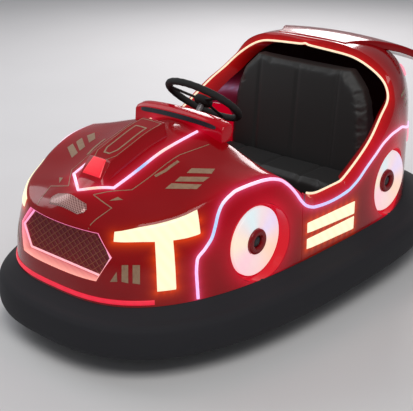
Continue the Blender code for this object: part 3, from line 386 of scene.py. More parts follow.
@dataclass(frozen=True)
class BodyForm:
    """The body's shape: an outline seen from above with a wall, a bonnet and a domed tail."""

    half_length: float
    half_width: float
    base: float = 0.237
    power: float = 2.9
    sill: float = 0.430
    roof: float = 0.840
    dome_foot: float = 0.400
    dome_reach: float = 0.72
    hoop_power: float = 3.25
    side_power: float = 4.0
    tail_power: float = 3.4
    hump: float = 0.42
    hoop_drop: float = 0.028
    front_joint: float = -0.232
    rear_joint: float = 0.055
    table: Dict[str, Array] = field(default_factory=dict)

    def __post_init__(self) -> None:
        """Measure the outline from the nose round the left side to the back."""
        points = oval(np.linspace(-pi / 2, pi / 2, 6001), self.half_width, self.half_length,
                      self.power)
        points[:, 0] *= self.taper(points[:, 1])
        self.table.update(points=points, run=run_of(points))

    def taper(self, y: Array) -> Array:
        """The outline's width at y as a share of its oval's, which falls towards the back."""
        return smooth([(self.along(0.36), 1.0), (self.along(0.575), 0.945),
                       (self.along(0.77), 0.845), (self.along(1.0), 0.78)], y)

    def along(self, share: float) -> float:
        """A place along the car: -1 is the front of the body and +1 its back."""
        return share * self.half_length

    @property
    def total(self) -> float:
        """The distance from the nose round to the middle of the back."""
        return float(self.table["run"][-1])

    def at(self, d: Array) -> Array:
        """Plan points at distances d round from the nose; negative ones are on the right.

        Args:
            d: distances round from the nose; negative ones are on the right.

        Returns:
            The points.
        """
        d = np.asarray(d, dtype=float)
        size, (x, y) = np.abs(d), self.table["points"].T
        side = np.where(d < 0, -1, 1)
        return np.stack([np.interp(size, self.table["run"], x) * side,
                         np.interp(size, self.table["run"], y)], axis=-1)

    def outward(self, d: Array) -> Array:
        """Unit plan vectors that point away from the car at distances d.

        Args:
            d: distances round from the nose; negative ones are on the right.

        Returns:
            The vectors.
        """
        d = np.asarray(d, dtype=float)
        step = 0.004
        run = (self.at(np.minimum(np.abs(d) + step, self.total))
               - self.at(np.maximum(np.abs(d) - step, 0.0)))
        run = unit(run)
        return np.stack([run[..., 1] * np.where(d < 0, -1, 1), -run[..., 0]], axis=-1)

    def round_to(self, y: Array) -> Array:
        """The distance round from the nose to the place at y."""
        return np.interp(y, self.table["points"][:, 1], self.table["run"])

    def shoulder(self, d: Array) -> Array:
        """The height where the wall turns into the bonnet or the cockpit's edge.

        Args:
            d: distances round from the nose; negative ones are on the right.

        Returns:
            The heights.
        """
        quarter = np.abs(d) / (self.total / 2)
        return smooth([(0.0, 0.486), (0.124, 0.473), (0.172, 0.474), (0.294, 0.496), (0.360, 0.506),
                       (0.424, 0.519), (0.487, 0.540), (0.531, 0.552), (0.574, 0.563),
                       (0.617, 0.571), (0.650, 0.574), (0.686, 0.575), (0.720, 0.573),
                       (0.745, 0.567), (0.788, 0.541), (0.822, 0.503), (0.864, 0.455),
                       (0.900, self.sill)], quarter)

    def lean(self, d: Array) -> Array:
        """How far the top of the wall leans inwards.

        Args:
            d: distances round from the nose; negative ones are on the right.

        Returns:
            The distances.
        """
        quarter = np.abs(d) / (self.total / 2)
        return smooth([(0.0, 0.038), (0.15, 0.040), (0.30, 0.048), (0.42, 0.048), (0.53, 0.044),
                       (0.62, 0.042), (0.69, 0.040), (0.745, 0.030), (0.80, 0.014), (0.88, 0.0)],
                      quarter)

    def dome(self, z: Array, power: Array) -> Array:
        """The dome's size at height z as a share of its foot: (1 - rise^p)^(1/p)."""
        rise = np.clip((z - self.dome_foot) / (self.roof - self.dome_foot), 0.0, 1.0)
        return (1 - rise**power) ** (1 / np.asarray(power, dtype=float))

    def fall(self, y: Array, z: Array) -> Array:
        """How far the tail drops behind the hoop, fully on the roof and not at the dome's foot.

        Args:
            y: places along the car.
            z: heights.

        Returns:
            The drops.
        """
        share = np.clip((z - self.dome_foot) / (self.roof - self.dome_foot), 0.0, 1.0)
        a = self.along
        return smooth([(a(0.50), 0.0), (a(0.62), 0.002), (a(0.72), 0.014), (a(0.83), 0.052),
                       (a(0.92), 0.090), (a(1.0), 0.125)], y) * share**1.5

    def skin(self, d: Array, z: Array, out: Union[float, Array] = 0.0) -> Array:
        """Points of the outer skin at distances d and heights z, moved outwards by out.

        Ahead of the rear joint the wall leans in with the square of its height. Behind it the
        outline shrinks with height like a dome.

        Args:
            d: distances round from the nose; negative ones are on the right.
            z: heights.
            out: how far outwards.

        Returns:
            The points.
        """
        d, z, out = np.broadcast_arrays(np.asarray(d, dtype=float), np.asarray(z, dtype=float),
                                        np.asarray(out, dtype=float))
        plan, away = self.at(d), self.outward(d)
        share = (z - self.base) / (self.shoulder(d) - self.base)
        front = plan - away * (self.lean(d) * np.clip(share, 0, 1.2) ** 2)[..., None]
        power = smooth([(self.along(0.50), self.hoop_power), (self.along(0.74), self.side_power)],
                       plan[..., 1])
        reach = self.dome_reach + (1 - self.dome_reach) * self.dome(z, self.tail_power)
        tail = plan * np.stack([self.dome(z, power), reach], axis=-1)
        ahead = np.abs(d) < self.rear_start
        chosen = np.where(ahead[..., None], front, tail) + away * out[..., None]
        height = z - np.where(ahead, 0.0, self.fall(tail[..., 1], z))
        return np.concatenate([chosen, height[..., None]], axis=-1)

    def bonnet(self, d: Array, s: Array) -> Array:
        """Points of the bonnet from its centre line (s = 0) to the shoulder at d (s = 1).

        The height is the crown line's, less a hump that fades with exp(-s^2), less the drop to
        the shoulder as a power of s.

        Args:
            d: distances round from the nose; negative ones are on the right.
            s: shares of the way from the centre line to the shoulder.

        Returns:
            The points.
        """
        d, s = np.broadcast_arrays(np.asarray(d, dtype=float), np.asarray(s, dtype=float))
        part = np.abs(d) / self.front_end
        edge = self.skin(d, self.shoulder(d))
        a = self.along
        centre_y = smooth([(0.0, a(-0.883)), (0.15, a(-0.868)), (0.32, a(-0.80)), (0.52, a(-0.70)),
                           (0.73, a(-0.53)), (0.90, a(-0.385)), (1.0, a(DASH))], part)
        crown_z = smooth([(a(-0.883), 0.541), (a(-0.778), 0.580), (a(-0.678), 0.611),
                          (a(-0.54), 0.650), (a(DASH), 0.674)], centre_y)
        crown = smooth([(0.0, 0.0), (0.2, 0.024), (0.5, 0.052), (0.8, 0.055), (1.0, 0.045)], part)
        bend = smooth([(0.0, 1.0), (0.5, 1.6), (1.0, 7.0)], part)
        roll = smooth([(0.0, 2.0), (0.25, 2.2), (0.6, 2.5), (1.0, 3.0)], part)
        drop = crown_z - crown - edge[..., 2]
        x = edge[..., 0] * s
        y = centre_y + (edge[..., 1] - centre_y) * s**bend
        z = crown_z - crown * (1 - np.exp(-(s / self.hump) ** 2)) - drop * s**roll
        return np.stack([x, y, z], axis=-1)

    @property
    def front_end(self) -> float:
        """The distance at which the front moulding ends."""
        return float(self.round_to(self.along(self.front_joint)))

    @property
    def rear_start(self) -> float:
        """The distance at which the tail moulding starts."""
        return float(self.round_to(self.along(self.rear_joint)))

    def rim_front(self, z: Array) -> Array:
        """How far back the tail's front edge lies at height z.

        Args:
            z: heights.

        Returns:
            The places along the car.
        """
        a = self.along
        return smooth([(self.sill, a(self.rear_joint)), (0.47, a(0.144)), (0.52, a(0.237)),
                       (0.60, a(0.370)), (0.66, a(0.463)), (0.73, a(0.508)), (0.80, a(0.497)),
                       (self.roof, a(0.486))], z)

    def sill_edge(self, d: Array) -> Array:
        """The cockpit's inner edge above a sill.

        Args:
            d: distances round from the nose; negative ones are on the right.

        Returns:
            The points.
        """
        y = self.at(d)[..., 1]
        start, end = self.along(self.front_joint), self.along(self.rear_joint)
        part = (y - start) / (end - start)
        z = smooth([(0.0, 0.519), (0.19, 0.471), (0.45, 0.454), (1.0, 0.456)], part)
        x = self.half_width * smooth([(0.0, 0.957), (0.3, 0.925), (1.0, 0.925)], part)
        return np.stack([x * np.where(np.asarray(d) < 0, -1, 1), y, z], axis=-1)

    def hoop_edge(self, climb: Array) -> Array:
        """The cockpit's inner edge up the left half of the hoop, from the sill (0) to the top (1).

        Args:
            climb: shares of the way from the sill to the top.

        Returns:
            The points.
        """
        w, a = self.half_width, self.along
        x = smooth([(0.0, 0.925 * w), (0.137, 0.905 * w), (0.274, 0.86 * w), (0.384, 0.815 * w),
                    (0.533, 0.69 * w), (0.739, 0.42 * w), (1.0, 0.0)], climb)
        y = smooth([(0.0, a(self.rear_joint)), (0.137, a(0.250)), (0.274, a(0.370)),
                    (0.384, a(0.459)), (0.533, a(0.492)), (0.739, a(0.478)),
                    (1.0, a(0.464))], climb)
        z = smooth([(0.0, 0.456), (0.137, 0.547), (0.274, 0.622), (0.384, 0.672), (0.533, 0.735),
                    (0.739, 0.797), (1.0, self.roof - self.hoop_drop)], climb)
        return np.stack([x, y, z], axis=-1)

    def hoop_level(self, climb: Array) -> Array:
        """The height of the hoop's outer edge at a climb."""
        return self.sill + (self.roof - self.sill) * np.sin(climb * pi / 2)

    def tail_rows(self, z: Array, columns: int) -> Array:
        """Rows of the tail's skin at heights z, from its front edge round to the back's middle.

        Args:
            z: heights.
            columns: how many columns of points.

        Returns:
            One row of points for each height.
        """
        reach = self.dome_reach + (1 - self.dome_reach) * self.dome(z, self.tail_power)
        front = np.where(z <= self.sill, self.along(self.rear_joint), self.rim_front(z))
        start = np.maximum(self.round_to(front / reach), self.rear_start + JOINT_GAP)
        share = np.linspace(0, 1, columns)[None, :]
        return self.skin(start[:, None] + (self.total - start[:, None]) * share, z[:, None])

    def cockpit_rim(self, sill_steps: int, hoop_steps: int) -> Tuple[Array, Array]:
        """The cockpit's outer and inner edges from the left sill over the hoop to the right sill.

        Args:
            sill_steps: points along a sill.
            hoop_steps: points up half of the hoop.

        Returns:
            The outer edge and the inner edge.
        """
        d = np.linspace(self.front_end + 0.044, self.rear_start - 0.002, sill_steps)
        climb = np.linspace(0.01, 1, hoop_steps)
        outer = np.concatenate([self.skin(d, self.shoulder(d)),
                                self.tail_rows(self.hoop_level(climb), 2)[:, 0]])
        inner = np.concatenate([self.sill_edge(d), self.hoop_edge(climb)])
        outer[-1, 0] = 0.0
        return (np.concatenate([outer[:-1], outer[::-1] * MIRROR]),
                np.concatenate([inner[:-1], inner[::-1] * MIRROR]))


# Finishes

class Signal:
    """A shader value: wraps a socket, so that sums on values are written as expressions."""

    def __init__(self, graph: "Graph", socket: bpy.types.NodeSocket) -> None:
        """Keep the graph and the socket."""
        self.graph, self.socket = graph, socket

    def _sum(self, operation: str, first: Number, second: Number) -> "Signal":
        """One Math node on two values."""
        made = self.graph.node("ShaderNodeMath", {"operation": operation}, {0: first, 1: second})
        return Signal(self.graph, made.outputs[0])

    def __add__(self, other: Number) -> "Signal":
        """This plus other."""
        return self._sum("ADD", self, other)

    def __radd__(self, other: Number) -> "Signal":
        """Other plus this."""
        return self._sum("ADD", other, self)

    def __sub__(self, other: Number) -> "Signal":
        """This minus other."""
        return self._sum("SUBTRACT", self, other)

    def __rsub__(self, other: Number) -> "Signal":
        """Other minus this."""
        return self._sum("SUBTRACT", other, self)

    def __mul__(self, other: Number) -> "Signal":
        """This times other."""
        return self._sum("MULTIPLY", self, other)

    def __rmul__(self, other: Number) -> "Signal":
        """Other times this."""
        return self._sum("MULTIPLY", other, self)

    def high(self, other: Number) -> "Signal":
        """The higher of this and other."""
        return self._sum("MAXIMUM", self, other)

    def wave(self, count: float) -> "Signal":
        """A sine wave of this value, from 0 to 1, with count turns in a metre."""
        turn = self._sum("MULTIPLY", self, 2 * pi * count)
        return self._sum("SINE", turn, 0.0) * 0.5 + 0.5


class Graph:
    """A material's node tree, with one method that adds any node."""

    def __init__(self, name: str) -> None:
        """Start an empty node material."""
        self.material = bpy.data.materials.new(name)
        self.material.use_nodes = True
        self.tree = self.material.node_tree
        self.tree.nodes.clear()

    def node(self, kind: str, settings: Optional[dict] = None,
             inputs: Optional[dict] = None) -> bpy.types.ShaderNode:
        """Add a node.

        Args:
            kind: the node's type.
            settings: its properties, set first; stops are a ramp's (place, colour) pairs.
            inputs: values or signals of its sockets.

        Returns:
            The node.
        """
        made = self.tree.nodes.new(kind)
        for key, value in (settings or {}).items():
            if key == "stops":
                ramp = made.color_ramp.elements
                while len(ramp) < len(value):
                    ramp.new(0.5)
                for element, (place, colour) in zip(ramp, value):
                    element.position, element.color = place, (*colour, 1.0)
            else:
                setattr(made, key, value)
        for key, value in (inputs or {}).items():
            if isinstance(value, Signal):
                self.tree.links.new(value.socket, made.inputs[key])
            else:
                made.inputs[key].default_value = value
        return made

    def place(self) -> Signal:
        """The object's own coordinates."""
        return Signal(self, self.node("ShaderNodeTexCoord").outputs["Object"])

    def axes(self) -> Tuple[Signal, Signal, Signal]:
        """The object's coordinates one by one."""
        parts = self.node("ShaderNodeSeparateXYZ", None, {0: self.place()})
        return tuple(Signal(self, out) for out in parts.outputs)

    def noise(self, scale: float, detail: float = 3.0, rough: float = 0.5) -> Signal:
        """Noise from 0 to 1 with its features a metre over scale wide.

        Args:
            scale: features in a metre.
            detail: octaves of finer noise.
            rough: the weight of the finer noise.

        Returns:
            The value.
        """
        made = self.node("ShaderNodeTexNoise", None, {
            "Vector": self.place(), "Scale": scale, "Detail": detail, "Roughness": rough})
        return Signal(self, made.outputs["Fac"])

    def cells(self, scale: float) -> Signal:
        """Distance to the nearest cell centre of a random pebble pattern."""
        made = self.node("ShaderNodeTexVoronoi", None, {"Vector": self.place(), "Scale": scale})
        return Signal(self, made.outputs["Distance"])

    def attribute(self, name: str) -> Signal:
        """A colour painted on the mesh."""
        made = self.node("ShaderNodeAttribute", {"attribute_name": name})
        return Signal(self, made.outputs["Color"])

    def ramp(self, value: Signal, stops: Sequence[Tuple[float, Colour]]) -> Signal:
        """A colour ramp read at value."""
        made = self.node("ShaderNodeValToRGB", {"stops": stops}, {0: value})
        return Signal(self, made.outputs["Color"])

    def mix(self, share: Number, low: Union[Colour, Signal], high: Union[Colour, Signal],
            blend: str = "MIX") -> Signal:
        """A mix of two colours.

        Args:
            share: how much of the second colour.
            low: the first colour, at share 0.
            high: the second colour, at share 1.
            blend: the way of mixing.

        Returns:
            The value.
        """
        low, high = (c if isinstance(c, Signal) else (*c, 1.0) for c in (low, high))
        made = self.node("ShaderNodeMix", {"data_type": "RGBA", "blend_type": blend},
                         {0: share, 6: low, 7: high})
        return Signal(self, made.outputs[2])

    def bump(self, height: Signal, depth: float, strength: float = 0.5) -> Signal:
        """A normal bent by a height map whose whole range is depth metres.

        Args:
            height: the height map, from 0 to 1.
            depth: the height of its whole range, in metres.
            strength: how strongly it bends the normal.

        Returns:
            The value.
        """
        made = self.node("ShaderNodeBump", None, {
            "Height": height, "Distance": depth, "Strength": strength})
        return Signal(self, made.outputs["Normal"])

    def finish(self, **sockets: Union[float, Sequence[float], Signal]) -> bpy.types.Material:
        """The shader and the output; names use underscores for spaces.

        Args:
            sockets: values of the shader's sockets.

        Returns:
            The material.
        """
        inputs = {key.replace("_", " "): ((*value, 1.0) if isinstance(value, tuple) else value)
                  for key, value in sockets.items()}
        shader = self.node("ShaderNodeBsdfPrincipled", None, inputs)
        self.node("ShaderNodeOutputMaterial", None, {0: Signal(self, shader.outputs[0])})
        return self.material


@dataclass(frozen=True)
class GelCoat:
    """Glossy pigmented moulding that takes up the light of the strips beside it."""

    name: str
    colour: Colour
    deep: Colour
    gloss: float = 0.16

    def make(self) -> bpy.types.Material:
        """Slow colour drift, fine polishing marks in the gloss and a painted halo as emission.

        Returns:
            The material.
        """
        g = Graph(self.name)
        drift = g.noise(5.0, 2.0)
        marks = g.noise(240.0, 4.0, 0.7)
        colour = g.mix(drift, self.deep, self.colour)
        return g.finish(Base_Color=colour, Roughness=marks * 0.10 + drift * 0.06 + self.gloss,
                        Coat_Weight=0.45, Coat_Roughness=0.05, Specular_IOR_Level=0.10,
                        Emission_Color=g.attribute(GLOW_LAYER), Emission_Strength=1.0,
                        Normal=g.bump(g.noise(9.0, 1.0), 0.0012, 0.25))


@dataclass(frozen=True)
class Liner:
    """The rough inner face of a moulding, painted dark, with the strips' light painted on it."""

    name: str = "dark_liner"

    def make(self) -> bpy.types.Material:
        """Chopped-strand texture under dark paint, with the strips' light painted on as emission
        and pushed towards green by a fixed tint.

        Returns:
            The material.
        """
        g = Graph(self.name)
        strand = g.cells(160.0)
        return g.finish(Base_Color=g.mix(strand, (0.012, 0.010, 0.012), (0.035, 0.022, 0.022)),
                        # Painted light: the strips' glow colour, multiplied by a fixed
                        # green-leaning tint, glows on the inner face.
                        Emission_Color=g.mix(1.0, g.attribute(GLOW_LAYER), (0.5, 2.5, 1.5),
                                             "MULTIPLY"),
                        Emission_Strength=1.0, Roughness=strand * 0.2 + 0.55,
                        Normal=g.bump(strand, 0.001, 0.6))


@dataclass(frozen=True)
class Rubber:
    """Black rubber: a moulded fine grain with dusty scuffs where it rubs."""

    name: str
    colour: Colour = (0.010, 0.010, 0.012)
    scuff: Colour = (0.045, 0.043, 0.045)
    rough: float = 0.28
    coat: float = 0.35
    grain: float = 0.00025

    def make(self) -> bpy.types.Material:
        """Grain as bump; scuffs lift the colour and the roughness together.

        Returns:
            The material.
        """
        g = Graph(self.name)
        patches = g.noise(11.0, 6.0, 0.65)
        fine = g.noise(900.0, 2.0)
        worn = g.ramp(patches, [(0.52, (0.0, 0.0, 0.0)), (0.78, (1.0, 1.0, 1.0))])
        return g.finish(Base_Color=g.mix(worn, self.colour, self.scuff),
                        Roughness=patches * 0.22 + fine * 0.05 + self.rough, Coat_Weight=self.coat,
                        Coat_Roughness=0.12, Specular_IOR_Level=0.3,
                        Normal=g.bump(fine, self.grain, 0.5))


@dataclass(frozen=True)
class Vinyl:
    """Grained seat vinyl with a soft shine and slight creases."""

    name: str
    colour: Colour = (0.004, 0.004, 0.005)

    def make(self) -> bpy.types.Material:
        """Pebble grain from cells, creases from stretched noise.

        Returns:
            The material.
        """
        g = Graph(self.name)
        grain, creases = g.cells(420.0), g.noise(26.0, 5.0, 0.6)
        height = grain * 0.35 + creases * 0.65
        return g.finish(Base_Color=g.mix(creases, self.colour, (0.011, 0.010, 0.012)),
                        Roughness=0.58 - grain * 0.18, Specular_IOR_Level=0.14,
                        Normal=g.bump(height, 0.0014, 0.55))


@dataclass(frozen=True)
class Plastic:
    """Moulded plastic with a fine spark grain."""

    name: str
    colour: Colour = (0.014, 0.014, 0.016)
    rough: float = 0.42

    def make(self) -> bpy.types.Material:
        """Spark grain in the bump and hand polish in the roughness.

        Returns:
            The material.
        """
        g = Graph(self.name)
        grain, rubbed = g.noise(1400.0, 2.0), g.noise(14.0, 4.0)
        light = tuple(min(1.0, c * 1.8 + 0.004) for c in self.colour)
        return g.finish(Base_Color=g.mix(rubbed, self.colour, light),
                        Roughness=rubbed * 0.18 + self.rough, Normal=g.bump(grain, 0.0003, 0.5))


@dataclass(frozen=True)
class Metal:
    """Painted or bare metal with brush lines and dull patches."""

    name: str
    colour: Colour = (0.42, 0.42, 0.44)
    dull: Colour = (0.18, 0.17, 0.17)
    metallic: float = 0.9
    rough: float = 0.30

    def make(self) -> bpy.types.Material:
        """Dull patches from slow noise and fine lines from noise drawn out along Y.

        Returns:
            The material.
        """
        g = Graph(self.name)
        patches = g.noise(18.0, 6.0, 0.6)
        long = g.node("ShaderNodeMapping", None, {
            "Vector": g.place(), "Scale": (900.0, 12.0, 900.0)})
        lines = g.node("ShaderNodeTexNoise", None, {
            "Vector": Signal(g, long.outputs[0]), "Scale": 1.0, "Detail": 2.0})
        brushed = Signal(g, lines.outputs["Fac"])
        return g.finish(Base_Color=g.mix(patches, self.colour, self.dull), Metallic=self.metallic,
                        Roughness=patches * 0.25 + brushed * 0.12 + self.rough,
                        Normal=g.bump(brushed, 0.0002, 0.35))


@dataclass(frozen=True)
class Glow:
    """A lit diffuser: milky acrylic whose colour is painted along it."""

    name: str
    strength: float = 1.0
    pitch: float = 60.0
    dim: float = 0.16

    def make(self) -> bpy.types.Material:
        """The painted colour, a little dimmer between the lamps behind it.

        Returns:
            The material.
        """
        g = Graph(self.name)
        x, y, z = g.axes()
        lamps = (y + x * 0.4 + z * 0.7).wave(self.pitch)
        hue = g.attribute(GLOW_LAYER)
        lit = g.mix(lamps * self.dim, hue, (0.45, 0.45, 0.45), "MULTIPLY")
        return g.finish(Base_Color=g.mix(0.25, (0.02, 0.02, 0.02), hue),
                        Roughness=lamps * 0.05 + 0.3, Emission_Color=lit,
                        Emission_Strength=self.strength)


@dataclass(frozen=True)
class Film:
    """Printed film on the body."""

    name: str
    colour: Colour = (0.33, 0.20, 0.115)
    worn: Colour = (0.22, 0.09, 0.055)

    def make(self) -> bpy.types.Material:
        """Satin film, thinner in patches so that the red behind it shows a little.

        Returns:
            The material.
        """
        g = Graph(self.name)
        patches = g.noise(60.0, 5.0, 0.7)
        worn = g.ramp(patches, [(0.45, (0.0, 0.0, 0.0)), (0.8, (1.0, 1.0, 1.0))])
        return g.finish(Base_Color=g.mix(worn, self.colour, self.worn), Coat_Weight=0.3,
                        Roughness=patches * 0.15 + 0.3)


@dataclass(frozen=True)
class Lattice:
    """A plate with a fine raised diamond lattice."""

    name: str
    ground: Colour = (0.17, 0.045, 0.040)
    line: Colour = (0.62, 0.36, 0.33)
    count: float = 105.0
    metallic: float = 0.4

    def make(self) -> bpy.types.Material:
        """Two crossed waves on the plan; their crests are the pale lines.

        Returns:
            The material.
        """
        g = Graph(self.name)
        x, y, z = g.axes()
        up = z * 0.9 + y * 0.6
        crest = (x + up).wave(self.count).high((x - up).wave(self.count))
        mask = g.ramp(crest, [(0.62, (0.0, 0.0, 0.0)), (0.90, (1.0, 1.0, 1.0))])
        return g.finish(Base_Color=g.mix(mask, self.ground, self.line), Metallic=self.metallic,
                        Roughness=g.noise(80.0) * 0.2 + 0.25, Coat_Weight=0.4,
                        Normal=g.bump(crest, 0.0008, 0.5))


@dataclass(frozen=True)
class Floor:
    """The pale studio floor."""

    name: str = "studio_floor"

    def make(self) -> bpy.types.Material:
        """Pale matt paint with a slow drift.

        Returns:
            The material.
        """
        g = Graph(self.name)
        return g.finish(Base_Color=g.mix(g.noise(1.5), (0.70, 0.70, 0.71), (0.74, 0.74, 0.75)),
                        Roughness=g.noise(3.0) * 0.1 + 0.5)


class Finish(Enum):
    """Every finish on the car, each paired with the name of its slot."""

    RED = ("red_shell", GelCoat("red_gelcoat", (0.330, 0.0, 0.0030), (0.230, 0.0, 0.0016), 0.12))
    LINER = ("red_shell", Liner())
    RING = ("ring_rubber",
            Rubber("ring_rubber", (0.003, 0.003, 0.004), (0.007, 0.006, 0.008), 0.10, 0.22))
    TYRE = ("wheel_rubber",
            Rubber("tyre_rubber", (0.020, 0.020, 0.021), (0.07, 0.068, 0.065), 0.5, 0.0))
    GRIP = ("grip_rubber",
            Rubber("grip_rubber", (0.012, 0.012, 0.013), (0.03, 0.03, 0.03), 0.35, 0.15))
    SEAT = ("seat_vinyl", Vinyl("seat_vinyl"))
    PLASTIC = ("black_plastic", Plastic("black_plastic"))
    DARK = ("black_plastic", Plastic("dark_recess", (0.005, 0.006, 0.008), 0.25))
    SLOT = ("black_plastic", Plastic("dash_recess", (0.012, 0.018, 0.025), 0.18))
    STEEL = ("steel", Metal("bare_steel"))
    PAINTED = ("steel",
               Metal("painted_steel", (0.035, 0.035, 0.038), (0.06, 0.055, 0.05), 0.3, 0.38))
    WHITE_LIGHT = ("white_light", Glow("side_diffuser", 1.0))
    CREAM_LIGHT = ("cream_light", Glow("rim_diffuser", 1.0, 45.0))
    PINK_LIGHT = ("pink_light", Glow("pink_diffuser", 1.0))
    YELLOW_LIGHT = ("yellow_light", Glow("lamp_diffuser", 1.0, 25.0))
    RING_LIGHT = ("ring_light", Glow("wheel_diffuser", 0.92, 30.0, 0.02))
    RED_LIGHT = ("red_light", Glow("lip_diffuser", 0.9, 35.0))
    BRONZE = ("grille_bronze",
              Metal("grille_bronze", (0.95, 0.42, 0.26), (0.75, 0.20, 0.15), 0.15, 0.35))
    GRILLE_BACK = ("grille_bronze", Plastic("grille_shadow", (0.13, 0.006, 0.012), 0.5))
    FILM = ("red_shell", Film("beige_film"))
    BADGE = ("badge", Lattice("lattice_plate"))
    HUB = ("red_shell", GelCoat("hub_red", (0.30, 0.006, 0.010), (0.16, 0.003, 0.006), 0.25))

    def material(self) -> bpy.types.Material:
        """The finish's material, made once."""
        recipe = self.value[1]
        return bpy.data.materials.get(recipe.name) or recipe.make()


# Pieces

def object_of(name: str, mesh: bpy.types.Mesh) -> bpy.types.Object:
    """A new object that holds a mesh.

    Args:
        name: the piece's name.
        mesh: the mesh.

    Returns:
        The piece.
    """
    made = bpy.data.objects.new(name, mesh)
    bpy.context.scene.collection.objects.link(made)
    return made


def applied(made: bpy.types.Object) -> bpy.types.Object:
    """An object with its modifiers worked into its mesh.

    Args:
        made: the object.

    Returns:
        The piece.
    """
    bpy.context.view_layer.update()
    graph = bpy.context.evaluated_depsgraph_get()
    mesh = bpy.data.meshes.new_from_object(made.evaluated_get(graph))
    made.modifiers.clear()
    made.data = mesh
    return made


def thicken(made: bpy.types.Object, depth: float) -> None:
    """Put a wall of a depth behind a surface, whose inner face takes the second finish.

    Args:
        made: the object.
        depth: the depth in metres.
    """
    wall = made.modifiers.new("wall", "SOLIDIFY")
    wall.thickness, wall.offset, wall.use_even_offset = depth, -1.0, False
    wall.material_offset, wall.use_quality_normals = 1, True


def ease(made: bpy.types.Object, width: float, angle: float = 35.0, segments: int = 2) -> None:
    """Small rounds on the sharp edges.

    Args:
        made: the object.
        width: the width of the rounds.
        angle: edges sharper than this are rounded.
        segments: how many faces each round has.
    """
    bevel = made.modifiers.new("round", "BEVEL")
    bevel.width, bevel.segments, bevel.limit_method = width, segments, "ANGLE"
    bevel.angle_limit, bevel.use_clamp_overlap = radians(angle), True


def carve(made: bpy.types.Object, cutters: Sequence[bpy.types.Mesh]) -> bpy.types.Object:
    """Cut solids out of an object.

    Args:
        made: the object to cut.
        cutters: closed meshes to take away.

    Returns:
        The object with its new mesh.
    """
    tools = [object_of("cutter", mesh) for mesh in cutters]
    for tool in tools:
        boolean = made.modifiers.new("opening", "BOOLEAN")
        boolean.operation, boolean.solver, boolean.object = "DIFFERENCE", "EXACT", tool
        boolean.material_mode = "INDEX"
    applied(made)
    for tool in tools:
        bpy.data.objects.remove(tool)
    return made


def points_of(mesh: bpy.types.Mesh) -> Array:
    """A mesh's points as rows.

    Args:
        mesh: the mesh.

    Returns:
        The points.
    """
    flat = np.empty(len(mesh.vertices) * 3, dtype=np.float32)
    mesh.vertices.foreach_get("co", flat)
    return flat.reshape(-1, 3).astype(float)


def paint(mesh: bpy.types.Mesh, colours: Array) -> None:
    """Paint each point of a mesh in the colour attribute that the finishes read.

    Args:
        mesh: the mesh.
        colours: one colour, or one for each point.
    """
    layer = mesh.color_attributes.get(GLOW_LAYER) or mesh.color_attributes.new(
        GLOW_LAYER, "FLOAT_COLOR", "POINT")
    rgba = np.ones((len(mesh.vertices), 4), dtype=np.float32)
    rgba[:, :3] = colours
    layer.data.foreach_set("color", rgba.ravel())


def settle(points: Array, target: bpy.types.Object, downwards: bool = False) -> Array:
    """Points moved on to an object's surface: the nearest place, or straight down from above.

    Args:
        points: the points' first places.
        target: the object that they lie on.
        downwards: drop the points instead of taking the nearest place.

    Returns:
        The points on the surface.
    """
    flat = points.reshape(-1, 3).copy()
    if downwards:
        flat[:, 2] = 1.2
    mesh = bpy.data.meshes.new("probe")
    mesh.from_pydata(flat.tolist(), [], [])
    probe = object_of("probe", mesh)
    wrap = probe.modifiers.new("wrap", "SHRINKWRAP")
    wrap.target = target
    if downwards:
        wrap.wrap_method, wrap.use_project_z = "PROJECT", True
        wrap.use_negative_direction, wrap.use_positive_direction = True, False
    found = points_of(applied(probe).data)
    bpy.data.objects.remove(probe)
    return found.reshape(points.shape)


def fit(made: bpy.types.Object, finishes: Sequence[Finish], *nodes: str, body: str = ROOT,
        crease: float = 32.0) -> bpy.types.Object:
    """Finish a piece: materials, shading, its body and the CAD nodes it stands for.

    Args:
        made: the piece.
        finishes: its finishes in slot order.
        nodes: CAD nodes that it replaces.
        body: the body that it rides on.
        crease: edges sharper than this angle stay sharp.

    Returns:
        The piece.
    """
    slots = [m for m in made.data.materials]
    for index, finish in enumerate(finishes):
        if index < len(slots):
            made.data.materials[index] = finish.material()
        else:
            made.data.materials.append(finish.material())
    if GLOW_LAYER not in made.data.color_attributes:
        paint(made.data, np.zeros(3))
    made.data.shade_smooth()
    made.data.set_sharp_from_angle(angle=radians(crease))
    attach(made, body)
    if nodes:
        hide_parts(*nodes)
    LOG.info("%s: %d faces", made.name, len(made.data.polygons))
    return made


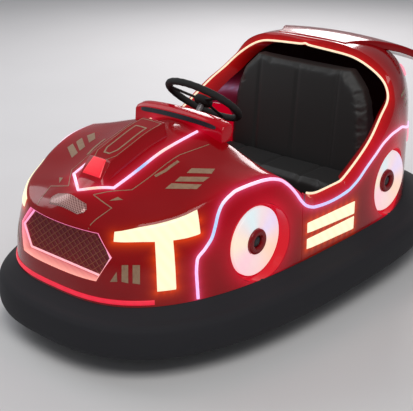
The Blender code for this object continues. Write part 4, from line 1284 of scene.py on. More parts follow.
@dataclass
class Shells:
    """The red mouldings: nose and bonnet, sills, tail with its hoop, and the roof deck."""

    form: BodyForm
    skin: float = 0.005
    glow_sources: List[Halo] = field(default_factory=list)

    def moulding(self, name: str, grid: Array) -> bpy.types.Object:
        """A red sheet on a grid of points, with a wall behind it whose inner face is dark.

        Args:
            name: the piece's name.
            grid: the points of its outer face.

        Returns:
            The piece.
        """
        made = object_of(name, Shape.grid(name, grid))
        thicken(made, self.skin)
        for finish in (Finish.RED, Finish.LINER):
            made.data.materials.append(finish.material())
        return applied(made)

    def arch(self, station: float, side: int) -> bpy.types.Mesh:
        """A short round bar across a side wall.

        Args:
            station: its place along the car.
            side: 1 on the left, -1 on the right.

        Returns:
            The mesh.
        """
        half = self.form.half_width
        profile = [(0, 0), (ARCH_RADIUS, 0), (ARCH_RADIUS, 0.4 * half), (0, 0.4 * half)]
        centre = (side * 0.80 * half, self.form.along(station), LIGHT_HEIGHT)
        return Shape.grid("arch", turned(profile, centre, (side, 0, 0), 120), wrap_rows=True,
                          wrap_columns=True)

    def front(self) -> bpy.types.Object:
        """Nose, bonnet and wings: wall rows, then bonnet rows, the shoulder eased by averaging.

        Returns:
            The piece.
        """
        form, end = self.form, self.form.front_end - JOINT_GAP
        d = np.concatenate([-np.linspace(end, 0, 131), np.linspace(0, end, 131)[1:]])[:, None]
        foot = form.base + JOINT_GAP
        wall = form.skin(d, foot + np.linspace(0, 1, 30) * (form.shoulder(d) - foot))
        s = np.linspace(1, 0, 71)[None, 1:]
        top = form.bonnet(d, s)
        top[..., 0] = np.abs(top[..., 0]) * np.where(d < 0, -1, 1)
        grid = np.concatenate([wall, top], axis=1)
        weight = np.exp(-((np.arange(grid.shape[1]) - 29.5) / 2.4) ** 2)[None, :, None] * 0.5
        weight = weight * np.clip((end - np.abs(d)) / 0.03, 0.25, 1)[..., None]
        for _ in range(9):
            mean = (np.roll(grid, 1, axis=1) + np.roll(grid, -1, axis=1)) / 2
            grid = grid * (1 - weight) + mean * weight
        down = np.concatenate([np.zeros(30), np.clip(np.arange(70) / 6, 0, 1)])[:, None]
        flange = np.array((0.0, 0.004, -0.022)) * down
        grid = np.concatenate([grid[:1] + flange, grid, grid[-1:] + flange])
        return carve(self.moulding("body_front", grid),
                     [Grille(form).opening()] + [self.arch(FRONT_LIGHT, s) for s in SIDES])

    def sill(self, side: int) -> bpy.types.Object:
        """A low side panel with a rolled edge and a lip down into the cockpit.

        Args:
            side: 1 on the left, -1 on the right.

        Returns:
            The piece.
        """
        form = self.form
        d = np.linspace(form.front_end + 0.002, form.rear_start - JOINT_GAP, 60) * side
        rise = form.base + np.linspace(0, 1, 24)[None, :] * (form.shoulder(d) - form.base)[:, None]
        wall = form.skin(d[:, None], rise)
        outer, inner = wall[:, -1], form.sill_edge(d)
        merge = np.clip((np.abs(d) - form.front_end) / 0.075, 0.06, 1)[:, None]
        inner = outer + (inner - outer) * merge * (2 - merge) - UP * 0.010 * (1 - merge)
        share = np.linspace(0, 1, 9)[None, 1:, None]
        roll = (outer[:, None] * (1 - share) + inner[:, None] * share
                + UP * np.sin(share * pi) * 0.007)
        lip = inner[:, None] - UP * np.array([0.012, 0.030])[None, :, None]
        grid = np.concatenate([wall, roll, lip], axis=1)
        weight = np.exp(-((np.arange(grid.shape[1]) - 23.5) / 1.6) ** 2)[None, :, None] * 0.4
        for _ in range(4):
            grid = grid * (1 - weight) + (np.roll(grid, 1, 1) + np.roll(grid, -1, 1)) / 2 * weight
        return self.moulding("body_sill_" + SIDES[side], grid)

    def tail_levels(self) -> Array:
        """Heights of the tail's rows: even up the dome's side, then even across its top.

        Returns:
            The heights, from the foot to the roof.
        """
        form = self.form
        share = np.linspace(0.78, 0, 36)
        rise = (1 - share**form.hoop_power) ** (1 / form.hoop_power)
        upper = form.dome_foot + rise * (form.roof - form.dome_foot)
        return np.concatenate([np.linspace(form.base, form.sill, 18)[:-1],
                               np.linspace(form.sill, upper[0], 32)[:-1], upper])

    def tail(self) -> bpy.types.Object:
        """The domed tail with its hoop: skin rows from the hoop's edge round to the back.

        Returns:
            The piece.
        """
        form = self.form
        z = self.tail_levels()
        skin = form.tail_rows(z, 96)
        climb = np.arcsin(np.clip((z - form.sill) / (form.roof - form.sill), 0, 1)) * 2 / pi
        inner = form.hoop_edge(climb)
        share = np.linspace(0, 1, 9)[None, :, None]
        roll = (inner[:, None] * (1 - share) + skin[:, :1] * share
                + UP * np.sin(share * pi) * 0.007)
        depth = np.linspace(1, 0, 6)[None, :-1, None]
        inward = np.stack([-0.10 * inner[:, 0], np.full(len(z), 0.055), np.full(len(z), -0.012)], 1)
        liner = inner[:, None] + inward[:, None] * depth
        edge = np.concatenate([liner, roll[:, :-1]], axis=1)
        low = (z < form.sill - 1e-6)[:, None, None]
        edge = np.where(low, skin[:, :1], edge)
        grid = np.concatenate([edge, skin], axis=1)
        grid[:, -1, 0] = 0.0
        grid[-1, :, 0] = 0.0
        whole = np.concatenate([grid, (grid * MIRROR)[::-1][1:]], axis=0)
        return carve(self.moulding("body_tail", whole),
                     [self.arch(REAR_LIGHT, s) for s in SIDES])

    def deck(self) -> bpy.types.Object:
        """The raised deck on the roof: closed sections across it, narrower towards the hoop.

        Returns:
            The piece.
        """
        form = self.form
        a = form.along
        y = np.linspace(a(0.497), a(0.918), 60)[:, None]
        half = form.half_width * smooth([(a(0.50), 0.345), (a(0.60), 0.44), (a(0.72), 0.60),
                                         (a(0.83), 0.70), (a(0.92), 0.66)], y)
        across = np.linspace(-1, 1, 61)[None, :]
        x = across * half
        y = y + 0.05 * (x / form.half_width) ** 2
        z = form.roof + smooth([(a(0.50), 0.005), (a(0.60), 0.008), (a(0.72), -0.007),
                                (a(0.83), -0.043), (a(0.92), -0.076)], y) - 0.22 * x**2
        top = np.stack([x, y, z], axis=-1)
        under = top - UP * 0.030
        grid = np.concatenate([top, under[:, ::-1]], axis=1)
        made = object_of("body_deck", Shape.mesh("body_deck", grid, Shape.faces(
            60, 122, wrap_columns=True).tolist() + [[i, i + 1, 120 - i, 121 - i] for i in range(60)]
            + [[59 * 122 + i, 59 * 122 + i + 1, 59 * 122 + 120 - i, 59 * 122 + 121 - i]
               for i in range(60)]))
        ease(made, 0.006, 50.0, 4)
        return applied(made)

    def halo(self, mesh: bpy.types.Mesh, base: float = 0.0) -> None:
        """Paint the strips' light on a mesh: each one fades with exp(-distance / reach).

        Args:
            mesh: the mesh.
            base: an even glow under the halos.
        """
        points = points_of(mesh)
        total = np.tile(np.array((base, 0.0, base * 0.03)), (len(points), 1))
        for places, colour, reach in self.glow_sources:
            nearest = np.full(len(points), 9.0)
            for chunk in np.array_split(np.arange(len(places)), max(1, len(places) // 24)):
                gap = np.linalg.norm(points[:, None] - places[chunk][None], axis=-1).min(axis=1)
                nearest = np.minimum(nearest, gap)
            total += np.exp(-nearest / reach)[:, None] * np.array(colour)
        paint(mesh, total)


@dataclass
class Grille:
    """The six-sided opening in the nose with a diamond mesh and a light strip round it."""

    form: BodyForm
    half: float = 0.220
    top: float = 0.463
    turn: float = 0.396
    foot: float = 0.312
    rake: float = 0.135
    pitch: float = 0.0190
    wire: float = 0.0015
    sleeve_back: float = -0.928
    mesh_back: float = -0.935
    middle: float = 0.390

    def corners(self, shrink: float = 0.0) -> Array:
        """The corners (x, z) of the opening, drawn in by shrink.

        Args:
            shrink: how far it is drawn in.

        Returns:
            One (x, z) row for each corner.
        """
        right = np.array([(self.half - 0.055, self.top), (self.half, self.turn),
                          (self.half - 0.042, self.foot)])
        loop = np.concatenate([right * (-1, 1), right[::-1]])
        middle = np.array((0.0, (self.top + self.foot) / 2))
        away = np.sign(loop - middle) * np.array((1.25, 1.0))
        return loop - away * shrink

    def at_depth(self, loop: Array, y: float) -> Array:
        """Corners put at a depth that leans back with height."""
        return np.stack([loop[:, 0], y + (loop[:, 1] - self.foot) * self.rake, loop[:, 1]], axis=-1)

    def opening(self) -> bpy.types.Mesh:
        """The solid to take out of the nose."""
        ends = [self.at_depth(self.corners(), self.form.along(s)) for s in (-1.1, -0.80)]
        return Shape.grid("opening", np.stack(ends), wrap_columns=True, capped=True)

    def skin_depth(self, x: Array, z: Array) -> Array:
        """How far forward the nose's skin lies at (x, z), found by steps round the outline.

        Args:
            x: places across the car.
            z: heights.

        Returns:
            The places along the car.
        """
        d = np.abs(x)
        for _ in range(14):
            d = d + np.abs(x) - self.form.skin(d, z)[..., 0]
        return self.form.skin(d, z)[..., 1]

    def frame(self) -> bpy.types.Object:
        """The wall of the recess: a thin hexagonal sleeve from the mesh out to the skin, its front
        band the lit strip and its deeper part painted a dim red glow for the strip's light in the
        recess.

        Returns:
            The piece.
        """
        loops = []
        for shrink in (0.0004, 0.0020):
            corners = self.corners(shrink)
            closed = np.concatenate([corners, corners[:1]])
            places = np.linspace(0, 6, 240, endpoint=False)
            loop = np.stack([np.interp(places, np.arange(7), column) for column in closed.T], -1)
            back = self.at_depth(loop, self.form.along(self.sleeve_back))
            front = back.copy()
            front[:, 1] = self.skin_depth(loop[:, 0], loop[:, 1]) + 0.0012
            loops += [back, front] if shrink < 0.001 else [front, back]
        made = object_of("grille_sleeve", Shape.grid(
            "grille_sleeve", np.stack(loops), wrap_rows=True, wrap_columns=True))
        points = points_of(made.data)
        deep = self.form.along(self.sleeve_back) + (points[:, 2] - self.foot) * self.rake
        fore = (np.abs(points[:, 1] - deep) > 0.004)[:, None]
        up = points[:, 2:3] - self.middle
        lit = np.array((1.0, 0.30, 0.40)) + up * np.array((0.0, -1.2, 0.9))
        # Front band: the strip's own colour. Deeper part: a painted dim red glow, the strip's light
        # falling on the recess wall.
        paint(made.data, np.where(fore, lit, np.array((0.30, 0.0, 0.02))))
        return made

    def backing(self) -> bpy.types.Object:
        """The dark red plate behind the mesh; its dark red is painted shade for the depth of the
        recess.

        Returns:
            The piece.
        """
        back = self.form.along(self.mesh_back)
        ends = [self.at_depth(self.corners(0.005), y) for y in (back + 0.001, back - 0.002)]
        return object_of("grille_back", Shape.grid("grille_back", np.stack(ends),
                                                   wrap_columns=True, capped=True))

    def wires(self) -> bpy.types.Object:
        """Two families of slanting flat wires, each clipped to the opening by its side lines.

        Returns:
            The piece.
        """
        loop = self.corners(0.006)
        grids = []
        for slope in (0.78, -0.78):
            run = np.array((1.0, slope)) / np.hypot(1, slope)
            normal = np.array((-run[1], run[0]))
            offsets = np.arange(-0.32, 0.32, self.pitch)
            start = np.array((0.0, self.middle)) + offsets[:, None] * normal
            low, high = np.full(len(offsets), -1.0), np.full(len(offsets), 1.0)
            for a, b in zip(loop, np.roll(loop, -1, axis=0)):
                edge = b - a
                facing = np.array((edge[1], -edge[0]))
                facing = facing if facing @ (loop.mean(0) - a) > 0 else -facing
                rate, now = run @ facing, (start - a) @ facing
                cross = -now / rate
                low = np.maximum(low, cross) if rate > 0 else low
                high = np.minimum(high, cross) if rate < 0 else high
            keep = high - low > 0.01
            ends = (start[keep] + low[keep, None] * run, start[keep] + high[keep, None] * run)
            share = np.linspace(0, 1, 2)[None, :, None]
            flat = ends[0][:, None] * (1 - share) + ends[1][:, None] * share
            y = self.form.along(self.mesh_back) - 0.0042 - 0.0010 * (slope > 0)
            line = np.stack([flat[..., 0], y + (flat[..., 1] - self.foot) * self.rake,
                             flat[..., 1]], -1)
            side = np.array((normal[0], 0.0, normal[1])) * self.wire
            depth = np.array((0.0, -0.0010, 0.0))
            section = np.stack([side, side * 0.35 + depth, -side * 0.35 + depth, -side, -depth])
            grids += list(line[:, :, None] + section[None, None])
        return object_of("grille_wires", Shape.join("grille_wires", grids, wrap_columns=True,
                                                    capped=True))

    def light(self) -> bpy.types.Object:
        """The strip round the recess, a half-round tube along its corners.

        Returns:
            The piece.
        """
        loop = self.corners(0.0075)
        path = self.at_depth(fill_path(np.concatenate([loop, loop[:1]]), 0.01)[:-1],
                             self.form.along(self.mesh_back) - 0.010)
        ahead = unit(np.roll(path, -1, 0) - np.roll(path, 1, 0))
        out = np.array((0.0, -1.0, 0.0))
        across = unit(np.cross(ahead, out))
        turn = np.linspace(0, 2 * pi, 10, endpoint=False)
        grid = (path[:, None] + across[:, None] * np.cos(turn)[None, :, None] * 0.0036
                + out * np.sin(turn)[None, :, None] * 0.0034)
        made = object_of("grille_glow", Shape.grid("grille_glow", grid, wrap_rows=True,
                                                   wrap_columns=True))
        up = points_of(made.data)[:, 2:3] - self.middle
        paint(made.data, np.array((1.0, 0.42, 0.62)) + up * np.array((0.2, -0.8, 1.2)))
        return made

    def build(self) -> None:
        """Make the sleeve, the plate, the wires and the light strip."""
        fit(self.frame(), [Finish.PINK_LIGHT], "grille_frame")
        fit(self.backing(), [Finish.GRILLE_BACK])
        fit(self.wires(), [Finish.BRONZE], "grille_mesh")
        fit(self.light(), [Finish.PINK_LIGHT], "grille_light")


@dataclass
class BodyLights:
    """The lit strips and lamps on the body panels."""

    form: BodyForm
    panels: Dict[str, bpy.types.Object]
    strip_half: float = 0.0052
    strip_height: float = 0.0050
    paths: Dict[str, Array] = field(default_factory=dict)
    warm: List[bpy.types.Object] = field(default_factory=list)

    def wall(self, d: Array, z: Array) -> Array:
        """Places on the skin at distances and heights, laid on the panels.

        Args:
            d: distances round from the nose; negative ones are on the right.
            z: heights.

        Returns:
            The points.
        """
        raw = self.form.skin(d, z)
        joined = raw.reshape(-1, 3)
        flat_d = np.broadcast_to(d, raw.shape[:-1]).reshape(-1)
        result = joined.copy()
        fe, rs = self.form.front_end, self.form.rear_start
        zones = (("front", np.abs(flat_d) < fe), ("tail", np.abs(flat_d) >= rs),
                 ("sill_left", (np.abs(flat_d) >= fe) & (np.abs(flat_d) < rs) & (flat_d > 0)),
                 ("sill_right", (np.abs(flat_d) >= fe) & (np.abs(flat_d) < rs) & (flat_d < 0)))
        for name, mask in zones:
            if mask.any():
                result[mask] = settle(joined[mask], self.panels[name])
        return result.reshape(raw.shape)

    def side_route(self) -> Tuple[Array, Array]:
        """Distance and height of the side strip: up the nose corner, over both arches, to the tail.

        Returns:
            The distances and the heights.
        """
        keys = [(-0.725, 0.243), (-0.728, 0.325), (-0.722, 0.372), (-0.690, 0.403),
                (-0.662, 0.432), (-0.643, 0.468), (-0.628, 0.500), (-0.606, 0.528),
                (-0.563, 0.552), (-0.530, 0.563), (-0.464, 0.571), (-0.397, 0.572),
                (-0.364, 0.567), (-0.331, 0.555), (-0.298, 0.530), (-0.265, 0.495),
                (-0.235, 0.459), (-0.207, 0.437), (-0.157, 0.421), (-0.060, 0.415),
                (0.040, 0.421), (0.121, 0.446), (0.182, 0.480), (0.246, 0.511),
                (0.322, 0.544), (0.406, 0.559), (0.50, 0.555), (0.60, 0.530), (0.70, 0.505),
                (0.79, 0.495)]
        d = self.form.round_to(self.form.along(np.array([k[0] for k in keys])))
        z = np.array([k[1] for k in keys])
        run = np.concatenate([[0], np.cumsum(np.hypot(np.diff(d), np.diff(z)))])
        places = np.linspace(0, run[-1], 300)
        d, z = smooth(list(zip(run, d)), places), smooth(list(zip(run, z)), places)
        limit = self.form.shoulder(d) + np.where(d < self.form.front_end, -0.007, 1.0)
        return d, np.minimum(z, limit)

    def side(self, side: int) -> bpy.types.Object:
        """The long half-round strip along a side.

        Args:
            side: 1 on the left, -1 on the right.

        Returns:
            The piece.
        """
        d, z = self.side_route()
        path = self.wall(d * side, z)
        outward = level(self.form.outward(d * side))
        grid = Shape.sweep(path, outward, Shape.half_round(self.strip_half, self.strip_height))
        name = "strip_" + SIDES[side]
        made = object_of(name, Shape.grid(name, grid, wrap_columns=True, capped=True))
        share = np.interp(points_of(made.data)[:, 1], path[:, 1], np.linspace(0, 1, 300))
        stops = (0.0, 0.08, 0.14, 0.22, 0.34, 0.46, 0.58, 0.75, 1.0)
        hues = np.stack([smooth(list(zip(stops, column)), share) for column in (
            (0.92, 0.98, 0.42, 1.0, 0.98, 0.68, 0.50, 0.97, 0.95),
            (0.52, 0.66, 0.62, 0.76, 0.56, 0.55, 0.66, 0.66, 0.55),
            (0.98, 0.95, 1.0, 0.90, 0.86, 1.0, 1.0, 0.90, 0.98))], axis=1)
        paint(made.data, hues)
        self.paths[name] = path
        return made

    def rim(self) -> bpy.types.Object:
        """The fine neon tube near the cockpit's edge, over the hoop from sill to sill.

        Returns:
            The piece.
        """
        outer, inner = self.form.cockpit_rim(30, 90)
        for _ in range(10):
            inner[1:-1] = (inner[:-2] + 2 * inner[1:-1] + inner[2:]) / 4
            outer[1:-1] = (outer[:-2] + 2 * outer[1:-1] + outer[2:]) / 4
        slope = unit(outer - inner)
        path = inner + slope * 0.006
        ahead = unit(np.gradient(path, axis=0))
        outward = unit(np.cross(ahead, slope))
        outward *= np.sign(np.sum(outward * (0.0, -0.5, 1.0), axis=1, keepdims=True))
        path = path + outward * 0.0035
        turn = np.linspace(0, 2 * pi, 12, endpoint=False)
        section = np.stack([np.cos(turn), np.sin(turn)], axis=1) * 0.0042
        made = object_of("rim_neon", Shape.grid("rim_neon", Shape.sweep(path, outward, section),
                                                wrap_columns=True, capped=True))
        paint(made.data, np.array((0.98, 0.80, 0.56)))
        self.paths["rim"] = path
        return made

    def tee(self, side: int) -> bpy.types.Object:
        """A T-shaped headlight: one mesh of two patches with rounded borders.

        Args:
            side: 1 on the left, -1 on the right.

        Returns:
            The piece.
        """
        form = self.form
        start, end = form.round_to(form.along(-0.957)), form.round_to(form.along(-0.700))
        stem = form.round_to(form.along(-0.855)), form.round_to(form.along(-0.797))
        d = np.linspace(start, end, 90)
        top = form.shoulder(d) - 0.003
        low = top - np.interp(d, [start, end], [0.030, 0.078])
        place = np.linspace(0, 1, 22)[None, :]
        bar_z = low[:, None] * (1 - place) + top[:, None] * place
        bar = self.wall(d[:, None] * side, bar_z)
        stem_d = np.linspace(*stem, 30)
        rise = np.linspace(0, 1, 36)[None, :]
        foot_z, head_z = 0.287, np.interp(stem_d, d, low) + 0.012
        stem_z = foot_z * (1 - rise) + head_z[:, None] * rise
        leg = self.wall(stem_d[:, None] * side, stem_z)
        grids = [Shape.slab(bar, level(form.outward(d[:, None] * side)), 0.0040, 0.30),
                 Shape.slab(leg, level(form.outward(stem_d[:, None] * side)), 0.0038, 0.30)]
        name = "headlamp_" + SIDES[side]
        made = object_of(name, Shape.join(name, grids))
        paint(made.data, np.array((1.0, 0.90, 0.60)))
        return made

    def bars(self, side: int) -> bpy.types.Object:
        """Two level lamps on a sill, taller towards the back.

        Args:
            side: 1 on the left, -1 on the right.

        Returns:
            The piece.
        """
        form = self.form
        start, end = form.round_to(form.along(-0.203)), form.round_to(form.along(0.112))
        d = np.linspace(start, end, 90)[:, None] * side
        share = np.linspace(0, 1, 90)[:, None]
        grids = []
        for front, rear in (((0.275, 0.314), (0.262, 0.313)), ((0.335, 0.374), (0.321, 0.371))):
            low = front[0] * (1 - share) + rear[0] * share
            high = front[1] * (1 - share) + rear[1] * share
            z = low + (high - low) * np.linspace(0, 1, 16)[None, :]
            grids.append(Shape.slab(self.wall(d, z), level(form.outward(d)), 0.0065, 0.5))
        name = "sill_lamps_" + SIDES[side]
        made = object_of(name, Shape.join(name, grids))
        paint(made.data, np.array((1.0, 0.90, 0.62)))
        return made

    def lamp(self, side: int, label: str, places: Tuple[float, float],
             levels: Tuple[float, float]) -> bpy.types.Object:
        """A domed lamp on the tail between two places along the car and two heights.

        Args:
            side: 1 on the left, -1 on the right.
            label: the first part of its name.
            places: where it starts and ends, as shares of the body.
            levels: its lowest and highest places.

        Returns:
            The piece.
        """
        form = self.form
        d = form.round_to(form.along(np.linspace(*places, 40)))[:, None] * side
        under = self.wall(d, np.linspace(*levels, 24)[None, :])
        name = label + "_" + SIDES[side]
        grid = Shape.slab(under, level(form.outward(d)), 0.0085, 0.7)
        made = object_of(name, Shape.grid(name, grid))
        paint(made.data, np.array((1.0, 0.36, 0.46)))
        return made

    def lip(self) -> bpy.types.Object:
        """The bright lip under the grille from corner to corner.

        Returns:
            The piece.
        """
        d = np.linspace(-0.37, 0.37, 220)
        path = self.wall(d, np.full(220, 0.2525))
        grid = Shape.sweep(path, level(self.form.outward(d)), Shape.half_round(0.0082, 0.0048))
        made = object_of("nose_lip", Shape.grid("nose_lip", grid, wrap_columns=True, capped=True))
        paint(made.data, np.array((0.85, 0.012, 0.045)))
        return made

    def vee(self) -> bpy.types.Object:
        """The V of light on the bonnet: its tip is ahead of the raised block.

        Returns:
            The piece.
        """
        a = self.form.along
        keys = [(-0.866, 0.0), (-0.830, 0.048), (-0.793, 0.096), (-0.72, 0.100), (-0.65, 0.103),
                (-0.57, 0.106), (-0.49, 0.108), (-0.43, 0.110), (-0.372, 0.111)]
        arm = fill_path(np.array([(x, a(y), OVERHEAD) for y, x in keys]), 0.006)
        whole = np.concatenate([arm[::-1], arm[1:] * MIRROR])
        path = settle(whole, self.panels["front"], downwards=True)
        outward = np.tile(UP, (len(path), 1))
        made = object_of("bonnet_neon", Shape.grid("bonnet_neon", Shape.sweep(
            path, outward, Shape.half_round(0.0050, 0.0052)), wrap_columns=True, capped=True))
        points = points_of(made.data)
        far = (np.clip(-points[:, :1] / 0.1, 0, 1)
               * np.clip((points[:, 1:2] + 0.7) / 0.2, 0, 1))
        hue = np.array((0.98, 0.64, 0.92)) * (1 - far) + np.array((1.0, 0.55, 0.42)) * far
        patches = ((-0.60, 0.035, (0.34, 0.55, 1.0)), (-0.50, 0.05, (1.0, 0.70, 0.66)),
                   (-0.76, 0.02, (1.0, 0.62, 0.50)))
        for y, reach, colour in patches:
            share = np.exp(-(((points[:, 1:2] - y) / reach) ** 2)) * (points[:, :1] > -0.02)
            hue = hue * (1 - share) + np.array(colour) * share
        paint(made.data, hue)
        self.paths["vee"] = path
        return made

    def build(self) -> None:
        """Make every strip and lamp, each for its CAD node."""
        strips = [self.side(side) for side in SIDES]
        for piece, label in zip(strips, SIDES.values()):
            fit(piece, [Finish.WHITE_LIGHT], "side_light_" + label)
        fit(self.rim(), [Finish.CREAM_LIGHT], "rim_light")
        for side, label in SIDES.items():
            pair = [self.tee(side), self.bars(side)]
            for piece, node in zip(pair, ("headlight_", "sill_light_")):
                self.warm.append(fit(piece, [Finish.YELLOW_LIGHT], node + label))
            for name, places, levels, node in (
                    ("high_lamp", (0.775, 0.845), (0.700, 0.752), "rear_lamp_"),
                    ("low_lamp", (0.800, 0.870), (0.402, 0.466), "tail_lamp_")):
                fit(self.lamp(side, name, places, levels), [Finish.PINK_LIGHT], node + label)
        fit(self.lip(), [Finish.RED_LIGHT], "nose_strip")
        fit(self.vee(), [Finish.WHITE_LIGHT], "bonnet_light")

    def halos(self) -> List[Halo]:
        """Places, colour and reach of each strip's light on the panels.

        Returns:
            One row for each strip.
        """
        right, vee = self.paths["strip_right"], self.paths["vee"]
        left = right * MIRROR
        return [(right[::5], RED_HALO, 0.026), (left[::5], RED_HALO, 0.026),
                (right[::2], PINK_HALO, 0.007), (left[::2], PINK_HALO, 0.007),
                (vee[::3], RED_HALO, 0.026), (vee[::2], (0.28, 0.10, 0.22), 0.006),
                (self.paths["rim"][::3], (0.40, 0.008, 0.006), 0.024)]


@dataclass
class WheelLights:
    """The four lit discs in the arches: a pan, a flat lit ring and a domed hub."""

    form: BodyForm
    ring: float = 0.118
    bore: float = 0.046
    depth: float = 0.014

    def skin_x(self, y: Array, z: Array) -> Array:
        """How far out the skin lies at (y, z), found by steps round the outline.

        Args:
            y: places along the car.
            z: heights.

        Returns:
            The places across the car.
        """
        d = self.form.round_to(y)
        for _ in range(10):
            d = d + y - self.form.skin(d, z)[..., 1]
        return self.form.skin(d, z)[..., 0]

    def circles(self) -> Array:
        """Places round the four arches, from which the discs light the panels.

        Returns:
            The points.
        """
        turn = np.linspace(0, 2 * pi, 60, endpoint=False)
        round_y, round_z = ARCH_RADIUS * np.cos(turn), ARCH_RADIUS * np.sin(turn)
        rings = [np.stack([np.full(60, side * (self.floor_x(y) + 0.03)), y + round_y,
                           LIGHT_HEIGHT + round_z], axis=1)
                 for side in SIDES for y in map(self.form.along, (FRONT_LIGHT, REAR_LIGHT))]
        return np.concatenate(rings)

    def floor_x(self, station: float) -> float:
        """How far out the pan's floor lies."""
        face = float(self.form.skin(self.form.round_to(station), LIGHT_HEIGHT)[0])
        return face - 0.020 - self.depth - 0.0003

    def build(self, end: str, station: float, side: int) -> List[bpy.types.Object]:
        """The pan, the lit ring and the hub of one disc.

        Args:
            end: front or rear.
            station: its place along the car.
            side: 1 on the left, -1 on the right.

        Returns:
            The pieces.
        """
        label = end + "_" + SIDES[side]
        centre, axis = (side * self.floor_x(station), station, LIGHT_HEIGHT), (side, 0, 0)
        r, b, top = ARCH_RADIUS - 0.001, self.bore, self.depth
        pan = [(0.0, -0.004), (r - 0.001, -0.004), (r, -0.003), (r, 0.011), (r - 0.001, 0.012),
               (r - 0.0025, 0.012), (r - 0.0035, 0.004), (r - 0.0045, 0.001), (r - 0.006, 0.0),
               (0.0, 0.0)]
        t = np.linspace(0, pi / 2, 5)
        edge = np.stack([self.ring - 0.004 + 0.004 * np.cos(t),
                         top - 0.004 + 0.004 * np.sin(t)], axis=1)
        inner = np.stack([b + 0.003 - 0.003 * np.sin(t), top - 0.003 + 0.003 * np.cos(t)], axis=1)
        ring = np.concatenate([[(b, 0.0004), (self.ring, 0.0004)], edge, inner])
        hub = [(0.0, 0.001), (b - 0.002, 0.001), (b - 0.002, top + 0.003),
               (b - 0.004, top + 0.006), (b - 0.008, top + 0.009), (b - 0.014, top + 0.0100),
               (0.025, top + 0.0085), (0.021, top + 0.004), (0.020, top - 0.004),
               (0.0, top - 0.004)]
        cap = [(0.0, top - 0.0035), (0.0185, top - 0.0035), (0.0180, top - 0.001),
               (0.014, top + 0.0015), (0.007, top + 0.0026), (0.0, top + 0.003)]
        made = []
        walls = turned(pan, centre, axis, 128)
        walls[:, 3:6, 0] = side * (self.skin_x(walls[:, 3:6, 1], walls[:, 3:6, 2]) - 0.0012)
        for name, profile, finish in (("pan_", pan, Finish.RED), ("disc_", ring, Finish.RING_LIGHT),
                                      ("hub_", hub, Finish.HUB), ("cap_", cap, Finish.DARK)):
            grid = walls if name == "pan_" else turned(profile, centre, axis, 128)
            piece = object_of(name + label, Shape.grid(name + label, grid, wrap_rows=True,
                                                       wrap_columns=True))
            made.append((piece, finish))
        # Painted light: the pan glows an even dim red, the lit ring's light on it; the pan itself
        # is no lamp.
        paint(made[0][0].data, np.array((0.40, 0.0, 0.012)))
        self.tint(made[1][0].data, np.array(centre))
        nodes = {"pan_": ("wheel_pan_" + label,), "disc_": ("wheel_light_" + label,)}
        return [fit(piece, [finish], *nodes.get(piece.name.split(label)[0], ()))
                for piece, finish in made]

    def tint(self, mesh: bpy.types.Mesh, centre: Array) -> None:
        """Pastel patches round a ring: cyan, peach and lavender fade into a pale pink.

        Args:
            mesh: the mesh.
            centre: the middle of the ring.
        """
        spokes = points_of(mesh) - centre
        angle = np.arctan2(spokes[:, 2], spokes[:, 1])
        hue = np.tile(np.array((0.90, 0.66, 0.66)), (len(angle), 1))
        patches = ((1.9, 0.5, (0.62, 0.84, 0.88)), (-0.6, 0.6, (0.95, 0.66, 0.46)),
                   (0.6, 0.5, (0.74, 0.66, 0.92)), (-2.4, 0.5, (0.95, 0.58, 0.66)),
                   (2.9, 0.4, (0.93, 0.80, 0.58)))
        for middle, width, colour in patches:
            gap = np.angle(np.exp(1j * (angle - middle)))
            share = np.exp(-((gap / width) ** 2))[:, None] * 0.75
            hue = hue * (1 - share) + np.array(colour) * share
        paint(mesh, hue)


